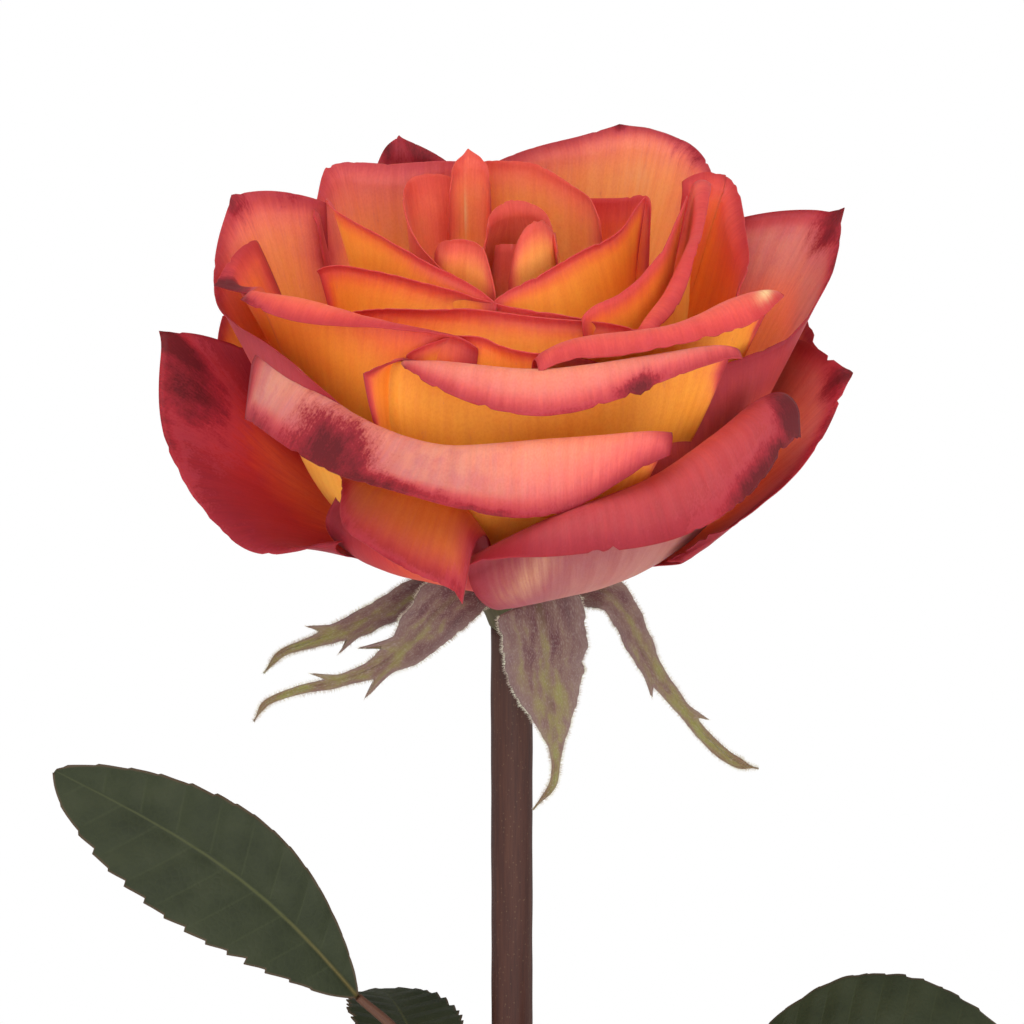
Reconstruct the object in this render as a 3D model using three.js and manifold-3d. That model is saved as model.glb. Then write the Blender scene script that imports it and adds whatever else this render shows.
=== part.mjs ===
// A long-stemmed cut rose with one large open two-coloured bloom, laid down on a surface.
// Millimetres, +Z up. The flower is drawn upright in a frame of its own, whose origin is the centre of
// the ring where the petals meet the stem, with the stem going down -Z. One turn then lays it down.
import * as THREE from 'three';
import { mergeVertices } from 'three/addons/utils/BufferGeometryUtils.js';
import Module from 'manifold-3d';

const wasm = await Module();
wasm.setup();

// Driving dimensions
const stemLength = 340;
const stemRadius = 3.4;
const stemWidening = 0.06;
const stemBend = 2.2;
const stemBendTop = -90;
const stemSides = 10;
const stemSteps = 18;
const petalThickness = 0.6;
const sepalThickness = 0.8;
const leafThickness = 0.7;
const gap = 0.3;
const lyingTilt = THREE.MathUtils.degToRad(6.8);
const restCut = 0.5;

// The hip is the swelling under the bloom, given as radius and height. It hides the top of the stem.
const hipOutline = [[3.8, -11.2], [4.6, -9], [6.2, -6], [6.8, -3], [6.5, -0.9]];
const hipSides = 16;
const stemTop = -11.6;

// The receptacle is a steep cone inside the bloom. The petals grow from its flank, whorl by whorl.
const whorlTop = 13.0;
const whorlStep = 1.1;
const whorlRadius = 2.0;
const whorlSpread = 0.42;
const lastWhorl = 12;
const firstGuardWhorl = 9;

// A petal starts as a narrow claw, at most this wide, and fans out early on its way up. Its wall swells
// to the belly and is a little lower at its two ends. A roll of more than a right angle is a deep one.
const clawHalfAngle = 24;
const clawShare = 0.4;
const fanPower = 1.6;
const bellyStart = 0.75;
const shoulder = 0.35;
const cornerDrop = 0.04;
const leastRoll = 20;
const deepRoll = 80;

// Each petal is known by its rim, the highest line of the petal, as five points from its left to its
// right end: azimuth in degrees (0 at the front, 90 right, 180 back), radius and height in millimetres.
// belly is the radius and height where its wall is fullest. curl is how far the margin rolls outwards
// at those five points, in degrees, drop is how far it then hangs straight there, and bend is the radius
// of the roll. rise lets a guard petal climb before it leans out.
const petals = [
  { name: 'petal_heart_core', whorl: 0, belly: [5, 20], bend: 2, curl: [0, 0, 0, 0, 0],
    drop: [0, 0, 0, 0, 0],
    rim: [[-170, 2.5, 54], [-85, 2.5, 55], [0, 2.5, 56], [85, 2.5, 55], [170, 2.5, 54]] },
  { name: 'petal_heart_right', whorl: 1, belly: [10, 24], bend: 2, curl: [0, 10, 20, 10, 0],
    drop: [0, 0, 0, 0, 0],
    rim: [[-4.3, 7.5, 54.4], [12.4, 7.6, 60.3], [44.7, 6.5, 61], [84.9, 6.7, 57], [129.5, 8.1, 56.3]] },
  { name: 'petal_heart_arch', whorl: 1, belly: [11, 24], bend: 2, curl: [30, 45, 60, 45, 30],
    drop: [0, 0.5, 1, 0.5, 0],
    rim: [[60, 8.1, 58], [110, 5.5, 60.3], [180, 4.8, 60.5], [249.9, 4.2, 59.7], [300.3, 4.7, 57.2]] },
  { name: 'petal_heart_left', whorl: 1, belly: [13, 24], bend: 2, curl: [0, 15, 30, 15, 0],
    drop: [0, 0, 0, 0, 0],
    rim: [[-78.3, 12.4, 57], [-59.9, 12, 57.9], [-45.9, 10.4, 58.6], [-23.2, 11.2, 58.3],
      [-10.2, 15.1, 54]] },
  { name: 'petal_heart_dark', whorl: 2, belly: [15, 24], bend: 2, curl: [10, 25, 40, 25, 10],
    drop: [0, 0, 0, 0, 0],
    rim: [[-149.4, 17.1, 62.8], [-130.2, 21.4, 60.3], [-97.8, 16.8, 58.4], [-58.7, 13.4, 54.2],
      [-12, 15.6, 53.2]] },
  { name: 'petal_heart_fold', whorl: 2, belly: [16, 24], bend: 2, curl: [10, 25, 40, 25, 10],
    drop: [0, 0.5, 1, 0.5, 0],
    rim: [[196, 12.6, 57], [196, 14.2, 63], [207, 17, 63.6], [216, 16, 63], [228, 12.8, 63.5]] },
  { name: 'petal_heart_back', whorl: 3, belly: [18, 24], bend: 2, curl: [0, 15, 30, 15, 0],
    drop: [0, 0, 0, 0, 0],
    rim: [[106.3, 14, 60.2], [135, 15.5, 59.5], [163.7, 15.4, 62.5], [187, 17, 62.5], [202.5, 18.6, 62.9]] },
  { name: 'petal_inner_right', whorl: 3, belly: [20, 24], bend: 2, curl: [20, 35, 50, 35, 20],
    drop: [0, 0, 0, 0, 0],
    rim: [[-10.7, 16.4, 54.1], [20.7, 13, 54.5], [66.3, 12.7, 55.7], [96, 17.4, 57], [117.2, 24, 60.7]] },
  { name: 'petal_inner_left', whorl: 3, belly: [22, 24], bend: 2, curl: [30, 40, 50, 35, 20],
    drop: [0, 0.5, 1, 0.5, 0],
    rim: [[-119.4, 34.1, 57.4], [-103.9, 29.1, 58.6], [-86, 20.4, 56.5], [-55.8, 15.4, 54.7],
      [-8.2, 16.5, 54.1]] },
  { name: 'petal_inner_back', whorl: 4, belly: [24, 23], bend: 2, curl: [20, 30, 30, 30, 20],
    drop: [0, 0, 0, 0, 0],
    rim: [[112, 23.5, 55.5], [121, 25, 58], [136, 24.5, 55.8], [151, 24, 54.4], [166, 24, 54]] },
  { name: 'petal_inner_far_right', whorl: 4, belly: [25, 23], bend: 2, curl: [10, 15, 20, 20, 20],
    drop: [0, 0, 0, 0, 0],
    rim: [[27.9, 22.7, 53.4], [46.3, 23.1, 53.3], [75.8, 23.8, 55.7], [104.9, 27.5, 57.4], [120, 33, 59.3]] },
  { name: 'petal_inner_front', whorl: 4, belly: [26, 22], bend: 2, curl: [40, 50, 60, 45, 30],
    drop: [0, 0.5, 1, 0.5, 0],
    rim: [[-90, 31, 53], [-74, 23, 53], [-38, 17.5, 52], [2, 18.5, 51.5], [38, 24, 51]] },
  { name: 'petal_middle_right', whorl: 5, belly: [29, 22], bend: 1.6, curl: [149, 164, 119, 111, 136],
    drop: [0.5, 0.1, 0, 0, 0],
    rim: [[43.7, 28.6, 50], [62.2, 27.6, 51.1], [84, 28.6, 55.2], [101.3, 30.5, 56.4], [123.7, 37.4, 60.8]] },
  { name: 'petal_middle_front', whorl: 5, belly: [28, 22], bend: 2, curl: [30, 45, 60, 45, 30],
    drop: [0, 0.5, 1, 0.5, 0],
    rim: [[-63, 31, 49.5], [-53, 26, 50.5], [-28, 20.5, 50.5], [15, 21, 50.5], [48, 28, 50]] },
  { name: 'petal_middle_low', whorl: 6, belly: [30, 20], bend: 2, curl: [30, 45, 60, 45, 30],
    drop: [0, 0.5, 1, 0.5, 0],
    rim: [[-34, 29, 48.5], [-16, 25, 49.5], [-4, 26, 48], [9, 28, 48], [29, 31, 47.5]] },
  { name: 'petal_middle_back_right', whorl: 6, belly: [34, 20], bend: 3, curl: [30, 35, 40, 35, 30],
    drop: [0, 1, 2, 1.5, 1],
    rim: [[85.4, 35.4, 49.5], [100.5, 37.9, 49.3], [119.2, 41.9, 52.2], [129.4, 44.7, 55.4],
      [133.2, 37.5, 58.2]] },
  { name: 'petal_middle_back_left', whorl: 5, belly: [34, 20], bend: 3, curl: [20, 30, 40, 30, 20],
    drop: [0, 1, 2, 1.5, 1],
    rim: [[182, 30, 57], [198, 31, 57.5], [212, 36, 56.5], [222, 42.5, 56], [238, 38, 54]] },
  { name: 'petal_middle_back', whorl: 7, belly: [36, 20], bend: 3, curl: [40, 45, 50, 40, 30],
    drop: [1, 1.5, 2, 1.5, 1],
    rim: [[132.9, 44.8, 57.2], [144.8, 47.8, 57.9], [154.3, 46, 59.2], [168.5, 39, 57.6],
      [191.8, 28, 58.6]] },
  { name: 'petal_front_right', whorl: 7, belly: [33, 18], bend: 2.2, curl: [153, 158, 136, 126, 85],
    drop: [0.8, 1.9, 1.8, 2.9, 0.1],
    rim: [[7, 28.9, 49.5], [27.4, 29, 49.6], [45.6, 34.8, 51.4], [62.5, 39.4, 53.7], [75.9, 44.6, 54.4]] },
  { name: 'petal_front', whorl: 8, belly: [34.5, 17], bend: 2.3, curl: [14, 128, 156, 131, 96],
    drop: [0.3, 4.1, 5.7, 3.2, 1.5],
    rim: [[-38.5, 36.9, 47.7], [-24.9, 30.2, 45.8], [9, 31.4, 46.1], [37.3, 35.6, 47.8], [53, 43.6, 51.1]] },
  { name: 'petal_left', whorl: 7, belly: [32.5, 17], bend: 1.6, curl: [20, 60, 135, 130, 90],
    drop: [0.2, 1, 2.5, 0.5, 0.2],
    rim: [[-111, 45, 52], [-90, 44.5, 49.3], [-69, 35.5, 51], [-40, 29.5, 50.8], [-12, 25.8, 50]] },
  { name: 'petal_left_back', whorl: 8, belly: [36.5, 16], bend: 3, curl: [20, 25, 30, 25, 20],
    drop: [0, 0, 0, 0, 0],
    rim: [[-126.7, 37.3, 56.1], [-114.1, 48, 54.4], [-95, 46.5, 44.5], [-62, 40.5, 44.5], [-38, 36, 37]] },
  { name: 'petal_right_back', whorl: 8, belly: [39, 16], bend: 3, curl: [10, 15, 20, 20, 20],
    drop: [0, 0, 0, 0, 0],
    rim: [[27.6, 28.7, 36.2], [57.9, 35.6, 41.4], [88.4, 46.2, 42], [115.2, 57.9, 48.9],
      [127.8, 46.2, 50.6]] },
  { name: 'petal_back_tip', whorl: 8, belly: [42, 16], bend: 3, curl: [20, 30, 40, 30, 20],
    drop: [0, 0.5, 1, 0.5, 0],
    rim: [[188, 41, 50], [197, 44, 54], [203, 46, 56], [208, 45, 55], [218, 39, 50]] },
  { name: 'petal_front_left_wide', whorl: 9, belly: [38, 15], bend: 2.5, curl: [170, 140, 120, 170, 133],
    drop: [8.8, 7.8, 11, 8.6, 1.5],
    rim: [[-77.5, 39.6, 42.4], [-45.3, 38.5, 38.8], [-18.1, 38, 36], [11.9, 37.8, 37.4],
      [31.7, 45.6, 42.1]] },
  { name: 'petal_front_right_wide', whorl: 10, belly: [41, 10], bend: 3.1, curl: [105, 149, 148, 153, 170],
    drop: [2, 4.2, 7.1, 7.1, 2.5],
    rim: [[-9.3, 42.1, 18.7], [11.4, 43.3, 27.9], [30.5, 43.4, 31.2], [49.5, 43.3, 35], [69, 45.1, 38.6]] },
  { name: 'petal_guard_front', whorl: 11, belly: [39.5, 12], bend: 4.4, rise: 0.45,
    curl: [87, 170, 170, 166, 170], drop: [0, 2.6, 7.9, 12.5, 7],
    rim: [[-52.2, 39, 22.8], [-40.4, 37.5, 22.9], [-28.8, 38.5, 25], [-18, 38.5, 24.5], [-8, 41, 22]] },
  { name: 'petal_guard_right', whorl: 11, belly: [42, 16], bend: 3, rise: 0.45, curl: [20, 25, 30, 25, 20],
    drop: [0, 0, 0, 0, 0],
    rim: [[43.2, 35.9, 13], [50.7, 43.7, 19.9], [69.5, 48.2, 25.9], [83.2, 51.6, 35.2], [114.4, 49, 32.7]] },
  { name: 'petal_guard_left', whorl: 11, belly: [42, 17], bend: 3, rise: 0.45, curl: [10, 15, 20, 20, 20],
    drop: [0, 0, 0, 0, 0],
    rim: [[-107, 44.4, 32.7], [-99.4, 55.5, 34.6], [-85.5, 55, 22], [-62, 47.5, 12.6], [-46, 36, 15]] },
  { name: 'petal_guard_back_right', whorl: 11, belly: [42, 10], bend: 3, rise: 0.45,
    curl: [20, 25, 30, 25, 20], drop: [0, 0, 0, 0, 0],
    rim: [[92, 50, 26], [120, 54, 32], [148, 55.5, 34], [170, 47.5, 33], [192, 44, 28]] },
  { name: 'petal_guard_back_left', whorl: 12, belly: [45.5, 9], bend: 3, rise: 0.45,
    curl: [20, 25, 30, 25, 20], drop: [0, 0, 0, 0, 0],
    rim: [[168, 50.5, 27], [190, 49.5, 32], [211, 57, 34.5], [235, 54.5, 34], [256, 50, 28]] },
];
const wallSpans = 4;
const petalSpans = 8;
const heartSpans = 12;
const rollSpans = 2;
const deepRollSpans = 4;

// Sepals: points of the spine from the hip to the tip, as x right, y towards the front and z up, the
// half width at each point, the way its upper face looks, and side lobes as place, side and length.
const sepals = [
  { name: 'sepal_front', face: [0, 1, 0.2], lobes: [],
    spine: [[1, 7.2, -0.9], [3.8, 11.5, -1.2], [5.2, 12.8, -7.9], [5.3, 12.6, -13.6], [6.3, 12.5, -20],
      [6.9, 12.3, -25.5], [7.1, 12, -29.8], [6.6, 12, -34.5], [3.4, 12, -39.2]],
    half: [3.6, 6.2, 6.7, 6.1, 4.1, 1.9, 0.8, 0.6, 0.3] },
  { name: 'sepal_left_upper', face: [0, 1, 0.6], lobes: [[0.52, -1, 2], [0.62, 1, 1.8]],
    spine: [[-6.6, 1.5, -0.9], [-12.5, 2.5, -3.6], [-18.7, 2, -7.1], [-23, 2, -9.6], [-27.9, 2, -11.9],
      [-32.9, 2, -14], [-37.3, 2, -15.8], [-40.3, 2, -19.4]],
    half: [2.8, 3, 2.3, 2.1, 1.6, 0.9, 0.6, 0.3] },
  { name: 'sepal_left_lower', face: [0, 1, 0.5], lobes: [[0.5, -1, 2.6], [0.42, 1, 3], [0.66, 1, 2]],
    spine: [[-4.6, 5.9, -0.9], [-9, 8.5, -2.6], [-12.2, 9, -5.4], [-15.2, 8.6, -9.6], [-19.2, 8, -13.7],
      [-24, 8, -16.4], [-29, 8, -18.2], [-34.5, 8, -19.5], [-39.8, 8, -21.9], [-41.8, 8, -25.1]],
    half: [3.4, 4.6, 4.4, 3.6, 2.3, 1.3, 0.9, 0.7, 0.5, 0.3] },
  { name: 'sepal_right', face: [0.55, 1, 0.4], lobes: [[0.55, 1, 1.6], [0.7, -1, 1.8]],
    spine: [[5.6, 3.8, -0.9], [10.5, 6, -1.4], [15.2, 6.3, -2.9], [18.4, 6, -7.2], [20.4, 6, -12.4],
      [23.2, 6, -17.6], [27.4, 6, -23.5], [31.3, 6, -28.9], [36.4, 6, -33.6], [40.2, 6, -34.8]],
    half: [3, 3.4, 2.9, 2.5, 2.4, 1.7, 1.2, 1, 0.9, 0.4] },
  { name: 'sepal_back', face: [0, -0.4, 1], lobes: [[0.5, -1, 2.6], [0.58, 1, 2.6]],
    spine: [[0.5, -7.2, -0.9], [1, -13, -2.6], [2, -19, -5.2], [3.2, -25, -9], [4.2, -29, -14.5],
      [4.8, -30.5, -21]],
    half: [3.4, 4.2, 3.6, 2.2, 1, 0.3] },
];
const sepalStations = 13;
const sepalHollow = 0.12;
const sepalTooth = 1.12;
const toothedShare = 0.8;

// Leaves: the side and height where the leafstalk joins the stem, its further points outwards, then
// leaflets as base, tip, width and the way the upper face looks, as x right, y towards the front and z up.
// bow is how far a midrib swings to its right, and skew makes the right half wider and the left narrower.
const leaves = [
  { name: 'leaf_left',
    side: -1, joint: -128, stalk: [[-8, 2, -114], [-12.5, 3.6, -99.5], [-19.5, 5, -84.6], [-25.6, 5, -78.2]],
    leaflets: [
      { base: [-25.6, 5, -78.2], tip: [-73.7, 10, -33.8], width: 22.5, face: [0.1, 1, 0.35], bow: 4.5,
        skew: -0.1 },
      { base: [-13.9, 4, -96.5], tip: [-22.4, -27, -94], width: 20, face: [0.2, 0.25, 1] },
      { base: [-13.9, 4, -96.5], tip: [-57, 9, -106], width: 22, face: [0, 1, 0.3], bow: 2 },
      { base: [-9.9, 2.8, -109], tip: [-43, 2, -131], width: 18, face: [0.1, 1, 0.2], bow: 1.5 },
      { base: [-9.9, 2.8, -109], tip: [10, 21, -98], width: 18, face: [0, 1, 0.35], bow: 1.5 },
    ] },
  { name: 'leaf_right',
    side: 1, joint: -168, stalk: [[9, 1.5, -154], [17, 4, -134], [27, 6.5, -111], [36.5, 7, -90]],
    leaflets: [
      { base: [36.5, 7, -90], tip: [82.6, 2, -86.5], width: 19, face: [0, 0.34, 0.94], bow: -1.5, skew: -0.15 },
      { base: [27.4, 6.5, -110], tip: [13, 16, -86], width: 19, face: [0, 1, 0.4], bow: -1.5 },
      { base: [27.4, 6.5, -110], tip: [70, 10, -121], width: 24, face: [0, 1, 0.3], bow: -2 },
      { base: [15.8, 3.6, -137], tip: [12, 15, -116], width: 15, face: [0.1, 1, 0.3], bow: -1 },
      { base: [15.8, 3.6, -137], tip: [48, 6, -155], width: 19, face: [0, 1, 0.2], bow: -1.5 },
    ] },
  { name: 'leaf_low',
    side: -1, joint: -236, stalk: [[-9, 1.5, -226], [-20, 3, -211], [-33, 3, -198], [-46, 2, -188]],
    leaflets: [
      { base: [-46, 2, -188], tip: [-96, -2, -160], width: 30, face: [0, 1, 0.2] },
      { base: [-34, 3, -197.5], tip: [-40, 10, -152], width: 24, face: [0.1, 1, 0.2] },
      { base: [-34, 3, -197.5], tip: [-72, 0, -222], width: 24, face: [0, 1, 0.1] },
      { base: [-18, 2.6, -213.5], tip: [-20, 11, -180], width: 19, face: [0.1, 1, 0.2] },
      { base: [-18, 2.6, -213.5], tip: [-46, 0, -240], width: 20, face: [0, 1, 0.1] },
    ] },
];
const stalkRadius = 1.5;
const stalkTipRadius = 0.7;
const stalkSteps = 9;
const stalkSides = 7;
const stipuleLength = 16;
const stipuleWidth = 2.6;
const stipuleEar = 1.6;
const stipuleStations = [0, 0.3, 0.6, 0.85, 1];
const teethPerSide = 8;
const toothDepth = 0.13;
const toothLean = 0.35;
const leafletEndHalf = 0.45;
const leafFold = 0.12;
const leafArch = 0.07;

// Prickles on the lower stem: distance below the petal ring and azimuth in degrees.
const prickles = [[-150, 40], [-162, 200], [-190, -60], [-205, 100], [-222, 10], [-248, 150],
  [-262, -35], [-281, 75], [-297, 185], [-312, -80]];
const prickleLength = 5;
const prickleRoot = 1.3;
const prickleBase = 3.2;
const prickleSlant = THREE.MathUtils.degToRad(12);
const prickleFlat = [0.55, 1, 1.5];

// The points of a shape, from lists of numbers
const polar = (azimuth, radius, height) => {
  const angle = THREE.MathUtils.degToRad(azimuth);
  return new THREE.Vector3(radius * Math.sin(angle), -radius * Math.cos(angle), height);
};
const point = ([x, front, z]) => new THREE.Vector3(x, -front, z);

const interpolate = (values, share) => {
  const place = THREE.MathUtils.clamp(share, 0, 1) * (values.length - 1);
  const index = Math.min(values.length - 2, Math.floor(place));
  return THREE.MathUtils.lerp(values[index], values[index + 1], place - index);
};

// A smooth value through evenly spaced ones, at a share of the way along them
const through = (values, share) => {
  const all = [2 * values[0] - values[1], ...values, 2 * values.at(-1) - values.at(-2)];
  const place = share * (values.length - 1);
  const index = THREE.MathUtils.clamp(Math.floor(place), 0, values.length - 2);
  const [a, b, c, d] = all.slice(index, index + 4);
  const f = place - index;
  return 0.5 * (2 * b + (c - a) * f + (2 * a - 5 * b + 4 * c - d) * f * f
    + (3 * b - a - 3 * c + d) * f * f * f);
};

// Solids
const toSolid = (geometry) => {
  const bare = geometry.clone();
  bare.deleteAttribute('normal');
  bare.deleteAttribute('uv');
  const merged = mergeVertices(bare, 1e-5);
  return new wasm.Manifold(new wasm.Mesh({
    numProp: 3,
    vertProperties: new Float32Array(merged.attributes.position.array),
    triVerts: new Uint32Array(merged.index.array),
  }));
};

const toGeometry = (solid) => {
  const { vertProperties, triVerts } = solid.getMesh();
  const geometry = new THREE.BufferGeometry();
  geometry.setAttribute('position', new THREE.BufferAttribute(new Float32Array(vertProperties), 3));
  geometry.setIndex(new THREE.BufferAttribute(new Uint32Array(triVerts), 1));
  geometry.computeVertexNormals();
  return geometry;
};

const largestPiece = (solid) => solid.decompose()
  .reduce((best, piece) => (piece.volume() > best.volume() ? piece : best));

const closedGeometry = (positions, faces) => {
  const geometry = new THREE.BufferGeometry();
  const numbers = positions.flatMap((p) => p.toArray());
  geometry.setAttribute('position', new THREE.Float32BufferAttribute(numbers, 3));
  geometry.setIndex(faces.flat());
  return geometry;
};

// A thin closed blade on a grid of points. Rows run along the blade and columns across it. Both faces
// are split into the same triangles. grow pushes every side out, for the space a neighbour keeps clear.
const blade = (rows, thickness, grow = 0) => {
  const last = rows.length - 1;
  const end = rows[0].length - 1;
  const grid = rows.map((row) => row.map((p) => p.clone()));
  const push = (p, from) => p.addScaledVector(p.clone().sub(from).normalize(), grow);
  if (grow > 0) {
    rows[0].forEach((p, i) => push(grid[0][i], rows[1][i]));
    rows[last].forEach((p, i) => push(grid[last][i], rows[last - 1][i]));
    rows.forEach((row, j) => push(grid[j][0], row[1]));
    rows.forEach((row, j) => push(grid[j][end], row[end - 1]));
  }
  const normalAt = (j, i) => {
    const along = rows[Math.min(last, j + 1)][i].clone().sub(rows[Math.max(0, j - 1)][i]);
    const over = rows[j][Math.min(end, i + 1)].clone().sub(rows[j][Math.max(0, i - 1)]);
    return over.cross(along).normalize();
  };
  const half = thickness / 2 + grow;
  const front = grid.flatMap((row, j) => row.map((p, i) => p.clone().addScaledVector(normalAt(j, i), half)));
  const back = grid.flatMap((row, j) => row.map((p, i) => p.clone().addScaledVector(normalAt(j, i), -half)));
  const count = front.length;
  const at = (j, i) => j * (end + 1) + i;
  const faces = [];
  for (let j = 0; j < last; j += 1) {
    for (let i = 0; i < end; i += 1) {
      const [a, b, c, d] = [at(j, i), at(j, i + 1), at(j + 1, i + 1), at(j + 1, i)];
      faces.push([a, b, c], [a, c, d], [a + count, c + count, b + count], [a + count, d + count, c + count]);
    }
  }
  const border = [];
  for (let i = 0; i < end; i += 1) border.push(at(0, i));
  for (let j = 0; j < last; j += 1) border.push(at(j, end));
  for (let i = end; i > 0; i -= 1) border.push(at(last, i));
  for (let j = last; j > 0; j -= 1) border.push(at(j, 0));
  border.forEach((a, k) => {
    const b = border[(k + 1) % border.length];
    faces.push([b, a, a + count], [b, a + count, b + count]);
  });
  return closedGeometry([...front, ...back], faces);
};

// A round rod along a curve, closed at both ends
const rod = (curve, radiusAt, steps, sides) => {
  const frames = curve.computeFrenetFrames(steps, false);
  const positions = [];
  for (let j = 0; j <= steps; j += 1) {
    const centre = curve.getPointAt(j / steps);
    for (let i = 0; i < sides; i += 1) {
      const angle = (2 * Math.PI * i) / sides;
      positions.push(centre.clone()
        .addScaledVector(frames.normals[j], radiusAt(j / steps) * Math.cos(angle))
        .addScaledVector(frames.binormals[j], radiusAt(j / steps) * Math.sin(angle)));
    }
  }
  const faces = [];
  for (let j = 0; j < steps; j += 1) {
    for (let i = 0; i < sides; i += 1) {
      const next = (i + 1) % sides;
      const [a, b] = [j * sides + i, j * sides + next];
      faces.push([a, b, b + sides], [a, b + sides, a + sides]);
    }
  }
  for (let i = 1; i < sides - 1; i += 1) {
    faces.push([0, i + 1, i], [steps * sides, steps * sides + i, steps * sides + i + 1]);
  }
  return closedGeometry(positions, faces);
};

// Petals
const petalBase = (whorl) => [whorlRadius + whorlSpread * whorl, whorlTop - whorlStep * whorl];

const rimAt = (petal, u) => {
  const points = petal.rim.map((row) => polar(...row));
  return new THREE.Vector3(...['x', 'y', 'z'].map((axis) => through(points.map((p) => p[axis]), (u + 1) / 2)));
};

const nudge = 1e-3;
const hasRoll = (petal) => Math.max(...petal.curl) > leastRoll;

const rollAt = (petal, u) => ({
  angle: THREE.MathUtils.degToRad(Math.max(1, through(petal.curl, (u + 1) / 2))),
  straight: Math.max(0, through(petal.drop, (u + 1) / 2)),
});

// The wall of a rolled petal ends where the roll starts, below and inside the rim.
const wallTop = (petal, u) => {
  const rim = rimAt(petal, u);
  if (!hasRoll(petal)) return rim;
  const { angle, straight } = rollAt(petal, u);
  const rise = Math.min(angle, Math.PI / 2);
  const hang = angle < Math.PI / 2 ? straight : 0;
  const along = rimAt(petal, u + nudge).sub(rimAt(petal, u - nudge)).normalize();
  const outward = along.cross(new THREE.Vector3(0, 0, 1)).normalize();
  rim.z -= petal.bend * Math.sin(rise) + hang * Math.cos(rise);
  return rim.addScaledVector(outward, -petal.bend * (1 - Math.cos(rise)) - hang * Math.sin(rise));
};

// A point of the wall, u from -1 at the left to 1 at the right and t from 0 at the claw to 1 at the top
const wallAt = (petal, u, t) => {
  const [baseRadius, baseHeight] = petalBase(petal.whorl);
  const [bellyRadius, bellyHeight] = petal.belly;
  const [left, right] = [petal.rim[0][0], petal.rim.at(-1)[0]];
  const top = wallTop(petal, u);
  const expected = THREE.MathUtils.lerp(left, right, (u + 1) / 2);
  const topAzimuth = THREE.MathUtils.radToDeg(Math.atan2(top.x, -top.y));
  const turns = Math.round((expected - topAzimuth) / 360);
  const clawHalf = Math.min(clawHalfAngle, clawShare * (right - left));
  const clawAzimuth = (left + right) / 2 + clawHalf * u;
  const azimuth = THREE.MathUtils.lerp(clawAzimuth, topAzimuth + 360 * turns, 1 - (1 - t) ** fanPower);
  const s = 1 - t;
  const weights = [s ** 3, 3 * s * s * t, 3 * s * t * t, t ** 3];
  const radii = [baseRadius, THREE.MathUtils.lerp(baseRadius, bellyRadius, bellyStart), bellyRadius,
    Math.hypot(top.x, top.y)];
  const heights = [baseHeight, THREE.MathUtils.lerp(baseHeight, bellyHeight, petal.rise ?? 0),
    THREE.MathUtils.lerp(bellyHeight, top.z, shoulder), top.z];
  const sum = (values) => values.reduce((total, value, k) => total + value * weights[k], 0);
  return polar(azimuth, sum(radii), sum(heights));
};

const petalRows = (petal) => {
  const spans = petal.whorl === 0 ? heartSpans : petalSpans;
  const columns = Array.from({ length: spans + 1 }, (_, i) => -1 + (2 * i) / spans);
  const topShare = (u) => 1 - cornerDrop * Math.abs(u) ** 6;
  const rows = [];
  for (let j = 0; j <= wallSpans; j += 1) {
    rows.push(columns.map((u) => wallAt(petal, u, (j / wallSpans) * topShare(u))));
  }
  if (!hasRoll(petal)) return rows;
  const spansUp = Math.max(...petal.curl) > deepRoll ? deepRollSpans : rollSpans;
  const rolled = columns.map((u) => {
    const t = topShare(u);
    const start = wallAt(petal, u, t);
    const up = start.clone().sub(wallAt(petal, u, t - nudge)).normalize();
    const along = wallAt(petal, Math.min(1, u + nudge), t).sub(wallAt(petal, Math.max(-1, u - nudge), t));
    const out = along.cross(up).normalize();
    const { angle, straight } = rollAt(petal, u);
    const arc = petal.bend * angle;
    return Array.from({ length: spansUp }, (_, k) => {
      const way = ((k + 1) / spansUp) * (arc + straight);
      const turn = Math.min(way, arc) / petal.bend;
      const rest = Math.max(0, way - arc);
      const rise = petal.bend * Math.sin(turn) + rest * Math.cos(turn);
      const reach = petal.bend * (1 - Math.cos(turn)) + rest * Math.sin(turn);
      return start.clone().addScaledVector(up, rise).addScaledVector(out, reach);
    });
  });
  for (let k = 0; k < spansUp; k += 1) rows.push(rolled.map((column) => column[k]));
  return rows;
};

// Stem, hip and receptacle
const stemSway = (z) => {
  const share = (stemBendTop - z) / (stemLength + stemBendTop);
  return share < 0 ? 0 : stemBend * Math.sin(Math.PI * share);
};
const stemCurve = new THREE.CatmullRomCurve3(
  Array.from({ length: stemSteps + 1 }, (_, k) => {
    const z = THREE.MathUtils.lerp(stemTop, -stemLength, k / stemSteps);
    return new THREE.Vector3(stemSway(z), 0, z);
  }),
);
const stemRadiusAt = (share) => stemRadius * (1 + stemWidening * share);
const stemRod = (grow) => rod(stemCurve, (share) => stemRadiusAt(share) + grow, stemSteps, stemSides);

const prickle = ([z, azimuth]) => {
  const share = (stemTop - z) / (stemTop + stemLength);
  const cone = new THREE.ConeGeometry(prickleBase / 2, prickleLength + prickleRoot, 5);
  cone.scale(...prickleFlat);
  cone.translate(0, stemRadiusAt(share) + (prickleLength - prickleRoot) / 2, 0);
  cone.rotateX(prickleSlant);
  cone.rotateZ(Math.PI + THREE.MathUtils.degToRad(azimuth));
  cone.translate(stemSway(z), 0, z);
  return cone;
};

const makeStem = () => prickles.reduce((solid, row) => solid.add(toSolid(prickle(row))), toSolid(stemRod(0)));

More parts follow.
